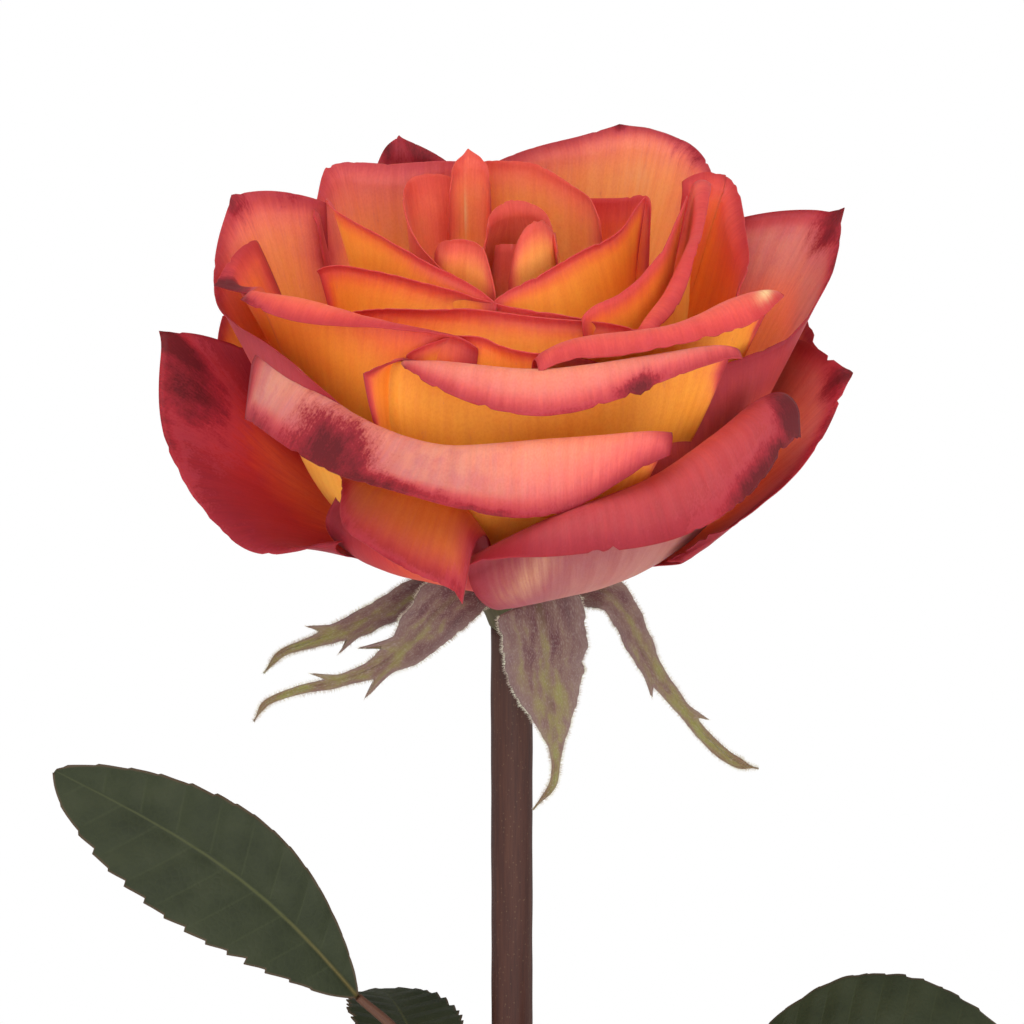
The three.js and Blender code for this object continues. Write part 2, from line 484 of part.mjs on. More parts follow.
const hipProfile = (grow) => {
  const [topRadius, topHeight] = petalBase(0);
  const [lowRadius, lowHeight] = petalBase(lastWhorl);
  const inset = petalThickness / 2 + gap;
  const cone = [[lowRadius - 1, lowHeight - 1.2 + grow], [lowRadius - inset, lowHeight],
    [topRadius - inset, topHeight]];
  const foot = hipOutline[0][1] - grow;
  const flank = [...hipOutline.slice(1), ...cone].map(([r, z]) => [r + grow, z]);
  return [[0, foot], [hipOutline[0][0] + grow, foot], ...flank, [0, topHeight + 1.5 + grow]]
    .map(([r, z]) => new THREE.Vector2(r, z));
};
const hipLathe = (grow) => new THREE.LatheGeometry(hipProfile(grow), hipSides).rotateX(Math.PI / 2);

// Sepals
const sepalBlade = (sepal, grow) => {
  const curve = new THREE.CatmullRomCurve3(sepal.spine.map(point));
  const face = point(sepal.face).normalize();
  const rows = Array.from({ length: sepalStations + 1 }, (_, j) => {
    const share = j / sepalStations;
    const centre = curve.getPoint(share);
    const side = curve.getTangent(share).cross(face).normalize();
    const up = side.clone().cross(curve.getTangent(share)).normalize();
    const half = interpolate(sepal.half, share);
    const tooth = j % 2 === 1 && share < toothedShare ? sepalTooth : 1;
    const lobe = (which) => sepal.lobes.filter(([place, hand]) => hand === which
      && Math.abs(place - share) < 0.5 / sepalStations).reduce((total, [, , length]) => total + length, 0);
    return [-1, 0, 1].map((hand) => {
      const reach = hand === 0 ? 0 : half * tooth + lobe(hand);
      return centre.clone().addScaledVector(side, hand * reach).addScaledVector(up, sepalHollow * reach);
    });
  });
  return blade(rows, sepalThickness, grow);
};

// Leaves
const leafletShape = (share) => Math.sin(Math.PI * share ** 1.2) ** 0.65;

const leafletBlade = ({ base, tip, width, face, bow = 0, skew = 0 }) => {
  const start = point(base);
  const way = point(tip).sub(start);
  const length = way.length();
  const ahead = way.clone().normalize();
  const up = point(face).addScaledVector(ahead, -point(face).dot(ahead)).normalize();
  const side = ahead.clone().cross(up);
  const stations = 2 * teethPerSide;
  const rows = Array.from({ length: stations + 1 }, (_, j) => {
    const share = j / stations;
    const half = Math.max(leafletEndHalf, (width / 2) * leafletShape(share));
    const tooth = j % 2 === 1 ? 1 : 1 - toothDepth * Math.min(1, 4 * share * (1 - share));
    const forward = j % 2 === 1 && j < stations - 1 ? toothLean / stations : 0;
    const arch = leafArch * length * Math.sin(Math.PI * share) - 0.5 * leafArch * length * share ** 3;
    return [-1, 0, 1].map((hand) => {
      const reach = hand === 0 ? 0 : half * tooth * (1 + skew * hand);
      return start.clone()
        .addScaledVector(ahead, (share + (hand === 0 ? 0 : forward)) * length)
        .addScaledVector(side, hand * reach + bow * Math.sin(Math.PI * share))
        .addScaledVector(up, arch + leafFold * reach);
    });
  });
  return blade(rows, leafThickness);
};

const stipule = (curve, hand) => {
  const total = curve.getLength();
  const rows = stipuleStations.map((share) => {
    const place = (share * stipuleLength) / total;
    const centre = curve.getPointAt(place);
    const side = curve.getTangentAt(place).cross(new THREE.Vector3(0, -1, 0)).normalize();
    const width = share === 1 ? stipuleWidth + stipuleEar : stipuleWidth;
    return [0, width].map((reach) => centre.clone().addScaledVector(side, hand * reach));
  });
  return blade(hand > 0 ? rows : rows.map((row) => row.toReversed()), leafThickness);
};

const makeLeaf = (leaf) => {
  const root = [stemSway(leaf.joint) + leaf.side * 0.5 * stemRadius, 0, leaf.joint];
  const curve = new THREE.CatmullRomCurve3([root, ...leaf.stalk].map(point));
  const radiusAt = (share) => THREE.MathUtils.lerp(stalkRadius, stalkTipRadius, share);
  const pieces = [...leaf.leaflets.map(leafletBlade), stipule(curve, 1), stipule(curve, -1)];
  const stalk = toSolid(rod(curve, radiusAt, stalkSteps, stalkSides));
  return pieces.reduce((solid, piece) => solid.add(toSolid(piece)), stalk);
};

// Putting the flower together. Every piece is cut back to keep its gap to what lies inside it.
const clearOf = (solid, keepouts) => keepouts.reduce((rest, keepout) => rest.subtract(keepout), solid);

const surfaceLift = stemLength * Math.sin(lyingTilt) + stemRadiusAt(1) * Math.cos(lyingTilt) - restCut;
const below = new THREE.BoxGeometry(400, 800, 100).translate(0, 0, -50 - surfaceLift);
const underSurface = toSolid(below.rotateX(Math.PI / 2 - lyingTilt));

const flower = new THREE.Group();
flower.rotation.x = lyingTilt - Math.PI / 2;
flower.position.z = surfaceLift;

const finish = (color, roughness) => new THREE.MeshStandardMaterial({ color, roughness, metalness: 0 });
const finishes = {
  petal: finish('#e86a4e', 0.6),
  outerPetal: finish('#d8433f', 0.6),
  sepal: finish('#7d8a6a', 0.85),
  stem: finish('#5d4336', 0.6),
  hip: finish('#6d6a45', 0.6),
  leaf: finish('#36463a', 0.65),
};

const place = (name, solid, material) => {
  const mesh = new THREE.Mesh(toGeometry(largestPiece(solid.subtract(underSurface))), material);
  mesh.name = name;
  flower.add(mesh);
};

const stemSpace = toSolid(stemRod(gap));
const hipSpace = toSolid(hipLathe(gap));
place('stem', makeStem(), finishes.stem);
place('hip', toSolid(hipLathe(0)).subtract(stemSpace), finishes.hip);

const taken = [hipSpace];
petals.forEach((petal) => {
  const rows = petalRows(petal);
  const material = petal.whorl < firstGuardWhorl ? finishes.petal : finishes.outerPetal;
  place(petal.name, clearOf(toSolid(blade(rows, petalThickness)), taken), material);
  taken.push(toSolid(blade(rows, petalThickness, gap)));
});

sepals.forEach((sepal) => {
  place(sepal.name, clearOf(toSolid(sepalBlade(sepal, 0)), [stemSpace, ...taken]), finishes.sepal);
  taken.push(toSolid(sepalBlade(sepal, gap)));
});

leaves.forEach((leaf) => {
  place(leaf.name, makeLeaf(leaf).subtract(stemSpace), finishes.leaf);
});

// The origin is the middle of the underside of the whole lying flower.
flower.updateMatrixWorld(true);
const reach = new THREE.Box3().setFromObject(flower, true);
const middle = reach.getCenter(new THREE.Vector3());
flower.position.x -= middle.x;
flower.position.y -= middle.y;

export default flower;
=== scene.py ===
# %% [markdown]
# # A cut rose, laid down
# This notebook dresses one long-stemmed rose whose petals are golden yellow behind, coral inside and
# crimson at the margins. The construction model gives every piece its place and size. Here each piece gets
# its fine surface and its finish. Lengths are drawn in millimetres in the flower's own upright frame, and
# one matrix then lays them down where the construction model lies.

# %% Load the fixed frame
import math
import random

import bmesh
import bpy
from mathutils import Matrix, Vector, noise
from mathutils.bvhtree import BVHTree


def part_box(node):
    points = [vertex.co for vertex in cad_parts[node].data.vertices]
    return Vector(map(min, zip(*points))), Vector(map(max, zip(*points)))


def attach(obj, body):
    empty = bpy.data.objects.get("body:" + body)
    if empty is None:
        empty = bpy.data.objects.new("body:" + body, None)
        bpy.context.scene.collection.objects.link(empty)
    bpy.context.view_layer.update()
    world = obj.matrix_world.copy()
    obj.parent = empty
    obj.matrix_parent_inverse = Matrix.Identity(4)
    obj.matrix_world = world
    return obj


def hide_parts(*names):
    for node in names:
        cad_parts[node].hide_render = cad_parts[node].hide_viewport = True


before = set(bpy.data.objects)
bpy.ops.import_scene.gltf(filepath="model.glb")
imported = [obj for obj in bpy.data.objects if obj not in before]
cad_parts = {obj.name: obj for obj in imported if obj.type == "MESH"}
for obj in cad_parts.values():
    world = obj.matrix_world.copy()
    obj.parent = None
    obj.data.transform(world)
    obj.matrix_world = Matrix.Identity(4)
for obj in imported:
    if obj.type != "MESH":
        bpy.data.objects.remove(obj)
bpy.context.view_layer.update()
print("construction nodes:", len(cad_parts))

# %% [markdown]
# ## The flower's own frame
# Its origin is the centre of the ring where the petals meet the stem. The stem goes down -Z and -Y is the
# front that the camera sees. The lying flower is that frame turned almost flat. Its place is read from the
# hip's box, so that the dressed pieces can't drift from the construction.

# %% Lay the flower's frame down
mm = 0.001
stem_length = 340
stem_radius = 3.4
stem_widening = 0.06
rest_cut = 0.5
lying_tilt = math.radians(6.8)
whorl_top = 13.0
receptacle_tip = whorl_top + 1.5

hip_low, hip_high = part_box("hip")
lift = stem_length * math.sin(lying_tilt) - rest_cut
lift += stem_radius * (1 + stem_widening) * math.cos(lying_tilt)
flower_origin = Vector((
    (hip_low.x + hip_high.x) / 2,
    hip_high.y - receptacle_tip * mm * math.cos(lying_tilt),
    lift * mm,
))
turn = Matrix.Rotation(lying_tilt - math.pi / 2, 4, "X")
to_frame = Matrix.Translation(flower_origin) @ turn @ Matrix.Scale(mm, 4)
print("flower origin, mm:", [round(c / mm, 1) for c in flower_origin])

# %% [markdown]
# ## The camera
# The photograph looks at the bloom from 25 degrees above its equator with a long lens. The flower lies
# down here, so the same view of it looks down on the table. The camera comes first, as the view decides
# how fine each piece has to be.

# %% Make the camera
picture_width = 1024
pixels_per_mm = 6.2
camera_distance = 900
camera_rise = math.radians(25)
flower_centre_row = 560

towards_camera = Vector((0, -math.cos(camera_rise), math.sin(camera_rise)))
picture_up = Vector((0, math.sin(camera_rise), math.cos(camera_rise)))
target = picture_up * (flower_centre_row - picture_width / 2) / pixels_per_mm

camera_data = bpy.data.cameras.new("camera")
camera_data.sensor_width = 36
camera_data.lens = 36 * pixels_per_mm * camera_distance / picture_width
camera = bpy.data.objects.new("camera", camera_data)
bpy.context.scene.collection.objects.link(camera)
camera.location = to_frame @ (target + towards_camera * camera_distance)
away = to_frame.to_3x3() @ towards_camera
up = to_frame.to_3x3() @ picture_up
camera_axes = Matrix((up.cross(away).normalized(), up.normalized(), away.normalized())).transposed()
camera.rotation_euler = camera_axes.to_euler()
bpy.context.scene.camera = camera
print("lens, mm:", round(camera_data.lens, 1))

# %% [markdown]
# ## Two curve helpers
# Rims, spines and stalks are smooth curves through a few given points. A Catmull-Rom curve passes
# through all of them. With power 0 its knots are evenly spaced, and with 0.25 they follow the distances,
# which keeps a curve calm where its points are uneven.

# %% Points and curves
def polar(azimuth, radius, height):
    """A point of the flower's frame; azimuth 0 is the front and 90 the right."""
    angle = math.radians(azimuth)
    return Vector((radius * math.sin(angle), -radius * math.cos(angle), height))


def point(row):
    """A point from x right, y towards the front, z up."""
    return Vector((row[0], -row[1], row[2]))


def spline(points, share, power=0.25):
    """The point at a share of the smooth curve through the points."""
    place = min(max(share, 0), 1) * (len(points) - 1)
    k = min(int(place), len(points) - 2)
    f = place - k
    ends = [2 * points[0] - points[1], *points, 2 * points[-1] - points[-2]]
    a, b, c, d = ends[k:k + 4]
    s0, s1, s2 = [max((q - p).length_squared ** power, 1e-4) for p, q in ((a, b), (b, c), (c, d))]
    m1 = ((b - a) / s0 - (c - a) / (s0 + s1) + (c - b) / s1) * s1
    m2 = ((c - b) / s1 - (d - b) / (s1 + s2) + (d - c) / s2) * s1
    return b + m1 * f + (3 * (c - b) - 2 * m1 - m2) * f**2 + (2 * (b - c) + m1 + m2) * f**3


def mix(a, b, share):
    """The value at a share of the way from a to b."""
    return a + (b - a) * share


def smooth(low, high, value):
    """0 below low, 1 above high and an even S between."""
    share = min(max((value - low) / (high - low), 0), 1)
    return share * share * (3 - 2 * share)


# %% [markdown]
# ## From a grid to a blade
# Petals, sepals and leaflets are all thin blades. Each starts as bmesh's flat grid, whose vertices then
# move to the points of a formula. What the finish has to know about a place, such as how far it is from
# the margin, is stored on the vertices as an attribute, so that the pattern follows the surface wherever
# it bends.

# %% Piece and blade helpers
floor_clearance = 0.5


def new_piece(name, bm):
    """The object that holds a finished bmesh, at the origin. The bmesh is freed."""
    mesh = bpy.data.meshes.new(name)
    bm.to_mesh(mesh)
    bm.free()
    piece = bpy.data.objects.new(name, mesh)
    bpy.context.scene.collection.objects.link(piece)
    return piece


def blade(name, *sheets):
    """Sheets of quads in one piece. Each sheet is the rows of points that its grid's vertices move to, the
    marks that become its attributes, and how much of the full thickness each point keeps."""
    bm = bmesh.new()
    group = bm.verts.layers.deform.verify()
    layers = {key: bm.verts.layers.float_vector.new(key) for key in sheets[0][1]}
    for rows, marks, weights in sheets:
        across_count, along_count = len(rows[0]) - 1, len(rows) - 1
        grid = bmesh.ops.create_grid(bm, x_segments=across_count, y_segments=along_count, size=1)
        for vert in grid["verts"]:
            i = round((vert.co.x + 1) / 2 * across_count)
            j = round((vert.co.y + 1) / 2 * along_count)
            vert.co = to_frame @ rows[j][i]
            vert.co.z = max(vert.co.z, floor_clearance * mm)
            for key, values in marks.items():
                vert[layers[key]] = values[j][i]
            vert[group][0] = weights[j][i]
    piece = new_piece(name, bm)
    piece.vertex_groups.new(name="thickness")
    return piece


def thicken(piece, thickness, thin=0.4):
    """Gives the sheet its thickness, thinner at the margin. The second material is on the inner side."""
    solid = piece.modifiers.new("thickness", "SOLIDIFY")
    solid.thickness = thickness * mm
    solid.offset = 0
    solid.vertex_group = "thickness"
    solid.thickness_vertex_group = thin
    solid.use_even_offset = False
    solid.material_offset = 1
    for polygon in piece.data.polygons:
        polygon.use_smooth = True


def dress(piece, node, finishes):
    """Puts a piece in the place of its construction node, with its finishes."""
    for finish in finishes:
        piece.data.materials.append(finish)
    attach(piece, "root")
    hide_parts(node)


# %% [markdown]
# ## Node helpers
# Colours are written as on a colour chart, in sRGB hex, and one function turns them to the linear values
# that Blender computes with. One function adds any node with its settings and links.

# %% Colour and node helpers
def linear(hex_colour):
    """An sRGB hex colour as linear red, green, blue and alpha."""
    parts = [int(hex_colour[k:k + 2], 16) / 255 for k in (1, 3, 5)]
    return (*[c / 12.92 if c <= 0.04045 else ((c + 0.055) / 1.055) ** 2.4 for c in parts], 1)


def add(tree, kind, inputs=(), ramp=(), **settings):
    """Adds a node and gives back its outputs. Inputs are (socket, source or value) pairs, a ramp is
    (place, hex colour) pairs, and settings are the node's own."""
    node = tree.nodes.new(kind)
    for key, value in settings.items():
        setattr(node, key, value)
    for key, source in inputs:
        if isinstance(source, bpy.types.NodeSocket):
            tree.links.new(source, node.inputs[key])
        else:
            node.inputs[key].default_value = source
    for k, (place, colour) in enumerate(ramp):
        elements = node.color_ramp.elements
        element = elements[k] if k < 2 else elements.new(place)
        element.position = place
        element.color = linear(colour)
    return node.outputs


def new_finish(name):
    """An empty node tree with its Principled shader, and the material that holds it."""
    finish = bpy.data.materials.new(name)
    finish.use_nodes = True
    tree = finish.node_tree
    return finish, tree, tree.nodes["Principled BSDF"]


# %% [markdown]
# ## The form of a petal
# Each petal is known by its rim, its highest line, as five points from its left to its right end: azimuth
# in degrees, radius and height. belly is the radius and height where the wall is fullest. curl is how far
# the margin rolls outwards at those five points, in degrees, and drop how far it then hangs straight there.
# bend is the radius of the roll, and rise lets a guard petal climb before it leans out. They are the
# construction's own values, so each fine petal follows its plain one.

# %% The petals, from the heart outwards
whorl_step = 1.1
whorl_radius = 2.0
whorl_spread = 0.42
claw_half_angle = 24
claw_share = 0.4
fan_power = 1.6
belly_start = 0.75
shoulder = 0.35
corner_drop = 0.04
least_roll = 20

petals = [
    dict(name="petal_heart_core", whorl=0, belly=(5, 20), curl=(0, 0, 0, 0, 0),
         drop=(0, 0, 0, 0, 0), bend=2,
         rim=[(-170, 2.5, 54), (-85, 2.5, 55), (0, 2.5, 56), (85, 2.5, 55), (170, 2.5, 54)]),
    dict(name="petal_heart_right", whorl=1, belly=(10, 24), curl=(0, 10, 20, 10, 0),
         drop=(0, 0, 0, 0, 0), bend=2,
         rim=[(-4.3, 7.5, 54.4), (12.4, 7.6, 60.3), (44.7, 6.5, 61), (84.9, 6.7, 57),
              (129.5, 8.1, 56.3)]),
    dict(name="petal_heart_arch", whorl=1, belly=(11, 24), curl=(30, 45, 60, 45, 30),
         drop=(0, 0.5, 1, 0.5, 0), bend=2,
         rim=[(60, 8.1, 58), (110, 5.5, 60.3), (180, 4.8, 60.5), (249.9, 4.2, 59.7),
              (300.3, 4.7, 57.2)]),
    dict(name="petal_heart_left", whorl=1, belly=(13, 24), curl=(0, 15, 30, 15, 0),
         drop=(0, 0, 0, 0, 0), bend=2,
         rim=[(-78.3, 12.4, 57), (-59.9, 12, 57.9), (-45.9, 10.4, 58.6), (-23.2, 11.2, 58.3),
              (-10.2, 15.1, 54)]),
    dict(name="petal_heart_dark", whorl=2, belly=(15, 24), curl=(10, 25, 40, 25, 10),
         drop=(0, 0, 0, 0, 0), bend=2,
         rim=[(-149.4, 17.1, 62.8), (-130.2, 21.4, 60.3), (-97.8, 16.8, 58.4), (-58.7, 13.4, 54.2),
              (-12, 15.6, 53.2)]),
    dict(name="petal_heart_fold", whorl=2, belly=(16, 24), curl=(10, 25, 40, 25, 10),
         drop=(0, 0.5, 1, 0.5, 0), bend=2,
         rim=[(196, 12.6, 57), (196, 14.2, 63), (207, 17, 63.6), (216, 16, 63), (228, 12.8, 63.5)]),
    dict(name="petal_heart_back", whorl=3, belly=(18, 24), curl=(0, 15, 30, 15, 0),
         drop=(0, 0, 0, 0, 0), bend=2,
         rim=[(106.3, 14, 60.2), (135, 15.5, 59.5), (163.7, 15.4, 62.5), (187, 17, 62.5),
              (202.5, 18.6, 62.9)]),
    dict(name="petal_inner_right", whorl=3, belly=(20, 24), curl=(20, 35, 50, 35, 20),
         drop=(0, 0, 0, 0, 0), bend=2,
         rim=[(-10.7, 16.4, 54.1), (20.7, 13, 54.5), (66.3, 12.7, 55.7), (96, 17.4, 57),
              (117.2, 24, 60.7)]),
    dict(name="petal_inner_left", whorl=3, belly=(22, 24), curl=(30, 40, 50, 35, 20),
         drop=(0, 0.5, 1, 0.5, 0), bend=2,
         rim=[(-119.4, 34.1, 57.4), (-103.9, 29.1, 58.6), (-86, 20.4, 56.5), (-55.8, 15.4, 54.7),
              (-8.2, 16.5, 54.1)]),
    dict(name="petal_inner_back", whorl=4, belly=(24, 23), curl=(20, 30, 30, 30, 20),
         drop=(0, 0, 0, 0, 0), bend=2,
         rim=[(112, 23.5, 55.5), (121, 25, 58), (136, 24.5, 55.8), (151, 24, 54.4), (166, 24, 54)]),
    dict(name="petal_inner_far_right", whorl=4, belly=(25, 23), curl=(10, 15, 20, 20, 20),
         drop=(0, 0, 0, 0, 0), bend=2,
         rim=[(27.9, 22.7, 53.4), (46.3, 23.1, 53.3), (75.8, 23.8, 55.7), (104.9, 27.5, 57.4),
              (120, 33, 59.3)]),
    dict(name="petal_inner_front", whorl=4, belly=(26, 22), curl=(40, 50, 60, 45, 30),
         drop=(0, 0.5, 1, 0.5, 0), bend=2,
         rim=[(-90, 31, 53), (-74, 23, 53), (-38, 17.5, 52), (2, 18.5, 51.5), (38, 24, 51)]),
    dict(name="petal_middle_right", whorl=5, belly=(29, 22), curl=(149, 164, 119, 111, 136),
         drop=(0.5, 0.1, 0, 0, 0), bend=1.6,
         rim=[(43.7, 28.6, 50), (62.2, 27.6, 51.1), (84, 28.6, 55.2), (101.3, 30.5, 56.4),
              (123.7, 37.4, 60.8)]),
    dict(name="petal_middle_front", whorl=5, belly=(28, 22), curl=(30, 45, 60, 45, 30),
         drop=(0, 0.5, 1, 0.5, 0), bend=2,
         rim=[(-63, 31, 49.5), (-53, 26, 50.5), (-28, 20.5, 50.5), (15, 21, 50.5), (48, 28, 50)]),
    dict(name="petal_middle_low", whorl=6, belly=(30, 20), curl=(30, 45, 60, 45, 30),
         drop=(0, 0.5, 1, 0.5, 0), bend=2,
         rim=[(-34, 29, 48.5), (-16, 25, 49.5), (-4, 26, 48), (9, 28, 48), (29, 31, 47.5)]),
    dict(name="petal_middle_back_right", whorl=6, belly=(34, 20), curl=(30, 35, 40, 35, 30),
         drop=(0, 1, 2, 1.5, 1), bend=3,
         rim=[(85.4, 35.4, 49.5), (100.5, 37.9, 49.3), (119.2, 41.9, 52.2), (129.4, 44.7, 55.4),
              (133.2, 37.5, 58.2)]),
    dict(name="petal_middle_back_left", whorl=5, belly=(34, 20), curl=(20, 30, 40, 30, 20),
         drop=(0, 1, 2, 1.5, 1), bend=3,
         rim=[(182, 30, 57), (198, 31, 57.5), (212, 36, 56.5), (222, 42.5, 56), (238, 38, 54)]),
    dict(name="petal_middle_back", whorl=7, belly=(36, 20), curl=(40, 45, 50, 40, 30),
         drop=(1, 1.5, 2, 1.5, 1), bend=3,
         rim=[(132.9, 44.8, 57.2), (144.8, 47.8, 57.9), (154.3, 46, 59.2), (168.5, 39, 57.6),
              (191.8, 28, 58.6)]),
    dict(name="petal_front_right", whorl=7, belly=(33, 18), curl=(153, 158, 136, 126, 85),
         drop=(0.8, 1.9, 1.8, 2.9, 0.1), bend=2.2,
         rim=[(7, 28.9, 49.5), (27.4, 29, 49.6), (45.6, 34.8, 51.4), (62.5, 39.4, 53.7),
              (75.9, 44.6, 54.4)]),
    dict(name="petal_front", whorl=8, belly=(34.5, 17), curl=(14, 128, 156, 131, 96),
         drop=(0.3, 4.1, 5.7, 3.2, 1.5), bend=2.3,
         rim=[(-38.5, 36.9, 47.7), (-24.9, 30.2, 45.8), (9, 31.4, 46.1), (37.3, 35.6, 47.8),
              (53, 43.6, 51.1)]),
    dict(name="petal_left", whorl=7, belly=(32.5, 17), curl=(20, 60, 135, 130, 90),
         drop=(0.2, 1, 2.5, 0.5, 0.2), bend=1.6,
         rim=[(-111, 45, 52), (-90, 44.5, 49.3), (-69, 35.5, 51), (-40, 29.5, 50.8), (-12, 25.8, 50)]),
    dict(name="petal_left_back", whorl=8, belly=(36.5, 16), curl=(20, 25, 30, 25, 20),
         drop=(0, 0, 0, 0, 0), bend=3,
         rim=[(-126.7, 37.3, 56.1), (-114.1, 48, 54.4), (-95, 46.5, 44.5), (-62, 40.5, 44.5),
              (-38, 36, 37)]),
    dict(name="petal_right_back", whorl=8, belly=(39, 16), curl=(10, 15, 20, 20, 20),
         drop=(0, 0, 0, 0, 0), bend=3,
         rim=[(27.6, 28.7, 36.2), (57.9, 35.6, 41.4), (88.4, 46.2, 42), (115.2, 57.9, 48.9),
              (127.8, 46.2, 50.6)]),
    dict(name="petal_back_tip", whorl=8, belly=(42, 16), curl=(20, 30, 40, 30, 20),
         drop=(0, 0.5, 1, 0.5, 0), bend=3,
         rim=[(188, 41, 50), (197, 44, 54), (203, 46, 56), (208, 45, 55), (218, 39, 50)]),
    dict(name="petal_front_left_wide", whorl=9, belly=(38, 15), curl=(170, 140, 120, 170, 133),
         drop=(8.8, 7.8, 11, 8.6, 1.5), bend=2.5,
         rim=[(-77.5, 39.6, 42.4), (-45.3, 38.5, 38.8), (-18.1, 38, 36), (11.9, 37.8, 37.4),
              (31.7, 45.6, 42.1)]),
    dict(name="petal_front_right_wide", whorl=10, belly=(41, 10), curl=(105, 149, 148, 153, 170),
         drop=(2, 4.2, 7.1, 7.1, 2.5), bend=3.1,
         rim=[(-9.3, 42.1, 18.7), (11.4, 43.3, 27.9), (30.5, 43.4, 31.2), (49.5, 43.3, 35),
              (69, 45.1, 38.6)]),
    dict(name="petal_guard_front", whorl=11, belly=(39.5, 12), curl=(87, 170, 170, 166, 170),
         drop=(0, 2.6, 7.9, 12.5, 7), bend=4.4, rise=0.45,
         rim=[(-52.2, 39, 22.8), (-40.4, 37.5, 22.9), (-28.8, 38.5, 25), (-18, 38.5, 24.5),
              (-8, 41, 22)]),
    dict(name="petal_guard_right", whorl=11, belly=(42, 16), curl=(20, 25, 30, 25, 20),
         drop=(0, 0, 0, 0, 0), bend=3, rise=0.45,
         rim=[(43.2, 35.9, 13), (50.7, 43.7, 19.9), (69.5, 48.2, 25.9), (83.2, 51.6, 35.2),
              (114.4, 49, 32.7)]),
    dict(name="petal_guard_left", whorl=11, belly=(42, 17), curl=(10, 15, 20, 20, 20),
         drop=(0, 0, 0, 0, 0), bend=3, rise=0.45,
         rim=[(-107, 44.4, 32.7), (-99.4, 55.5, 34.6), (-85.5, 55, 22), (-62, 47.5, 12.6),
              (-46, 36, 15)]),
    dict(name="petal_guard_back_right", whorl=11, belly=(42, 10), curl=(20, 25, 30, 25, 20),
         drop=(0, 0, 0, 0, 0), bend=3, rise=0.45,
         rim=[(92, 50, 26), (120, 54, 32), (148, 55.5, 34), (170, 47.5, 33), (192, 44, 28)]),
    dict(name="petal_guard_back_left", whorl=12, belly=(45.5, 9), curl=(20, 25, 30, 25, 20),
         drop=(0, 0, 0, 0, 0), bend=3, rise=0.45,
         rim=[(168, 50.5, 27), (190, 49.5, 32), (211, 57, 34.5), (235, 54.5, 34), (256, 50, 28)]),
]
print("petals:", len(petals))

# %% [markdown]
# A wall is one Bezier curve in every column, from the claw on the receptacle over the belly to the top,
# and a rolled margin is an arc with a straight hem after it. Working this out column by column keeps the
# rim exactly where it was drawn, which no sculpting or simulation would.

# %% Petal formula
nudge = 1e-3


def across(values, u):
    """A value given at the five points of a rim, for u from -1 at the left to 1 at the right."""
    return spline([Vector((value, 0)) for value in values], (u + 1) / 2, power=0).x


def rim_at(petal, u):
    """The point of the rim at u."""
    return spline([polar(*row) for row in petal["rim"]], (u + 1) / 2, power=0)


def has_roll(petal):
    """Whether the margin rolls far enough to need a roll of its own."""
    return max(petal["curl"]) > least_roll


def roll_at(petal, u):
    """The angle of the roll at u, and how far the margin hangs straight after it."""
    angle = math.radians(max(1, across(petal["curl"], u)))
    return angle, max(0, across(petal["drop"], u))


def wall_top(petal, u):
    """Where the wall ends and the roll starts, below and inside the rim."""
    rim = rim_at(petal, u)
    if not has_roll(petal):
        return rim
    angle, straight = roll_at(petal, u)
    rise = min(angle, math.pi / 2)
    hang = straight if angle < math.pi / 2 else 0
    along = (rim_at(petal, u + nudge) - rim_at(petal, u - nudge)).normalized()
    outward = along.cross(Vector((0, 0, 1))).normalized()
    rim.z -= petal["bend"] * math.sin(rise) + hang * math.cos(rise)
    return rim - outward * (petal["bend"] * (1 - math.cos(rise)) + hang * math.sin(rise))


def wall(petal, u):
    """The wall's curve in one column, as a function of t from 0 at the claw to 1 at the top."""
    base_radius = whorl_radius + whorl_spread * petal["whorl"]
    base_height = whorl_top - whorl_step * petal["whorl"]
    belly_radius, belly_height = petal["belly"]
    left, right = petal["rim"][0][0], petal["rim"][-1][0]
    top = wall_top(petal, u)
    top_azimuth = math.degrees(math.atan2(top.x, -top.y))
    top_azimuth += 360 * round((mix(left, right, (u + 1) / 2) - top_azimuth) / 360)
    claw_azimuth = (left + right) / 2 + min(claw_half_angle, claw_share * (right - left)) * u
    radii = (base_radius, mix(base_radius, belly_radius, belly_start), belly_radius,
             math.hypot(top.x, top.y))
    heights = (base_height, mix(base_height, belly_height, petal.get("rise", 0)),
               mix(belly_height, top.z, shoulder), top.z)

    def at(t):
        """The point of this column at t."""
        s = 1 - t
        weights = (s**3, 3 * s * s * t, 3 * s * t * t, t**3)
        azimuth = mix(claw_azimuth, top_azimuth, 1 - s**fan_power if s > 0 else 1)
        return polar(azimuth, sum(map(float.__mul__, weights, map(float, radii))),
                     sum(map(float.__mul__, weights, map(float, heights))))

    return at


def petal_column(petal, u, wall_steps, roll_steps):
    """The points of one column, from the claw up the wall and round the roll."""
    at, before, after = (wall(petal, w) for w in (u, max(-1, u - nudge), min(1, u + nudge)))
    t = 1 - corner_drop * abs(u) ** 6
    column = [at(t * j / wall_steps) for j in range(wall_steps + 1)]
    start = column[-1]
    up = (start - at(t - nudge)).normalized()
    out = (after(t) - before(t)).cross(up).normalized()
    angle, straight = roll_at(petal, u)
    bend = petal["bend"]
    for k in range(1, roll_steps + 1):
        way = k / roll_steps * (bend * angle + straight)
        turned = min(way, bend * angle) / bend
        rest = max(0, way - bend * angle)
        rise = bend * math.sin(turned) + rest * math.cos(turned)
        reach = bend * (1 - math.cos(turned)) + rest * math.sin(turned)
        column.append(start + up * rise + out * reach)
    return column


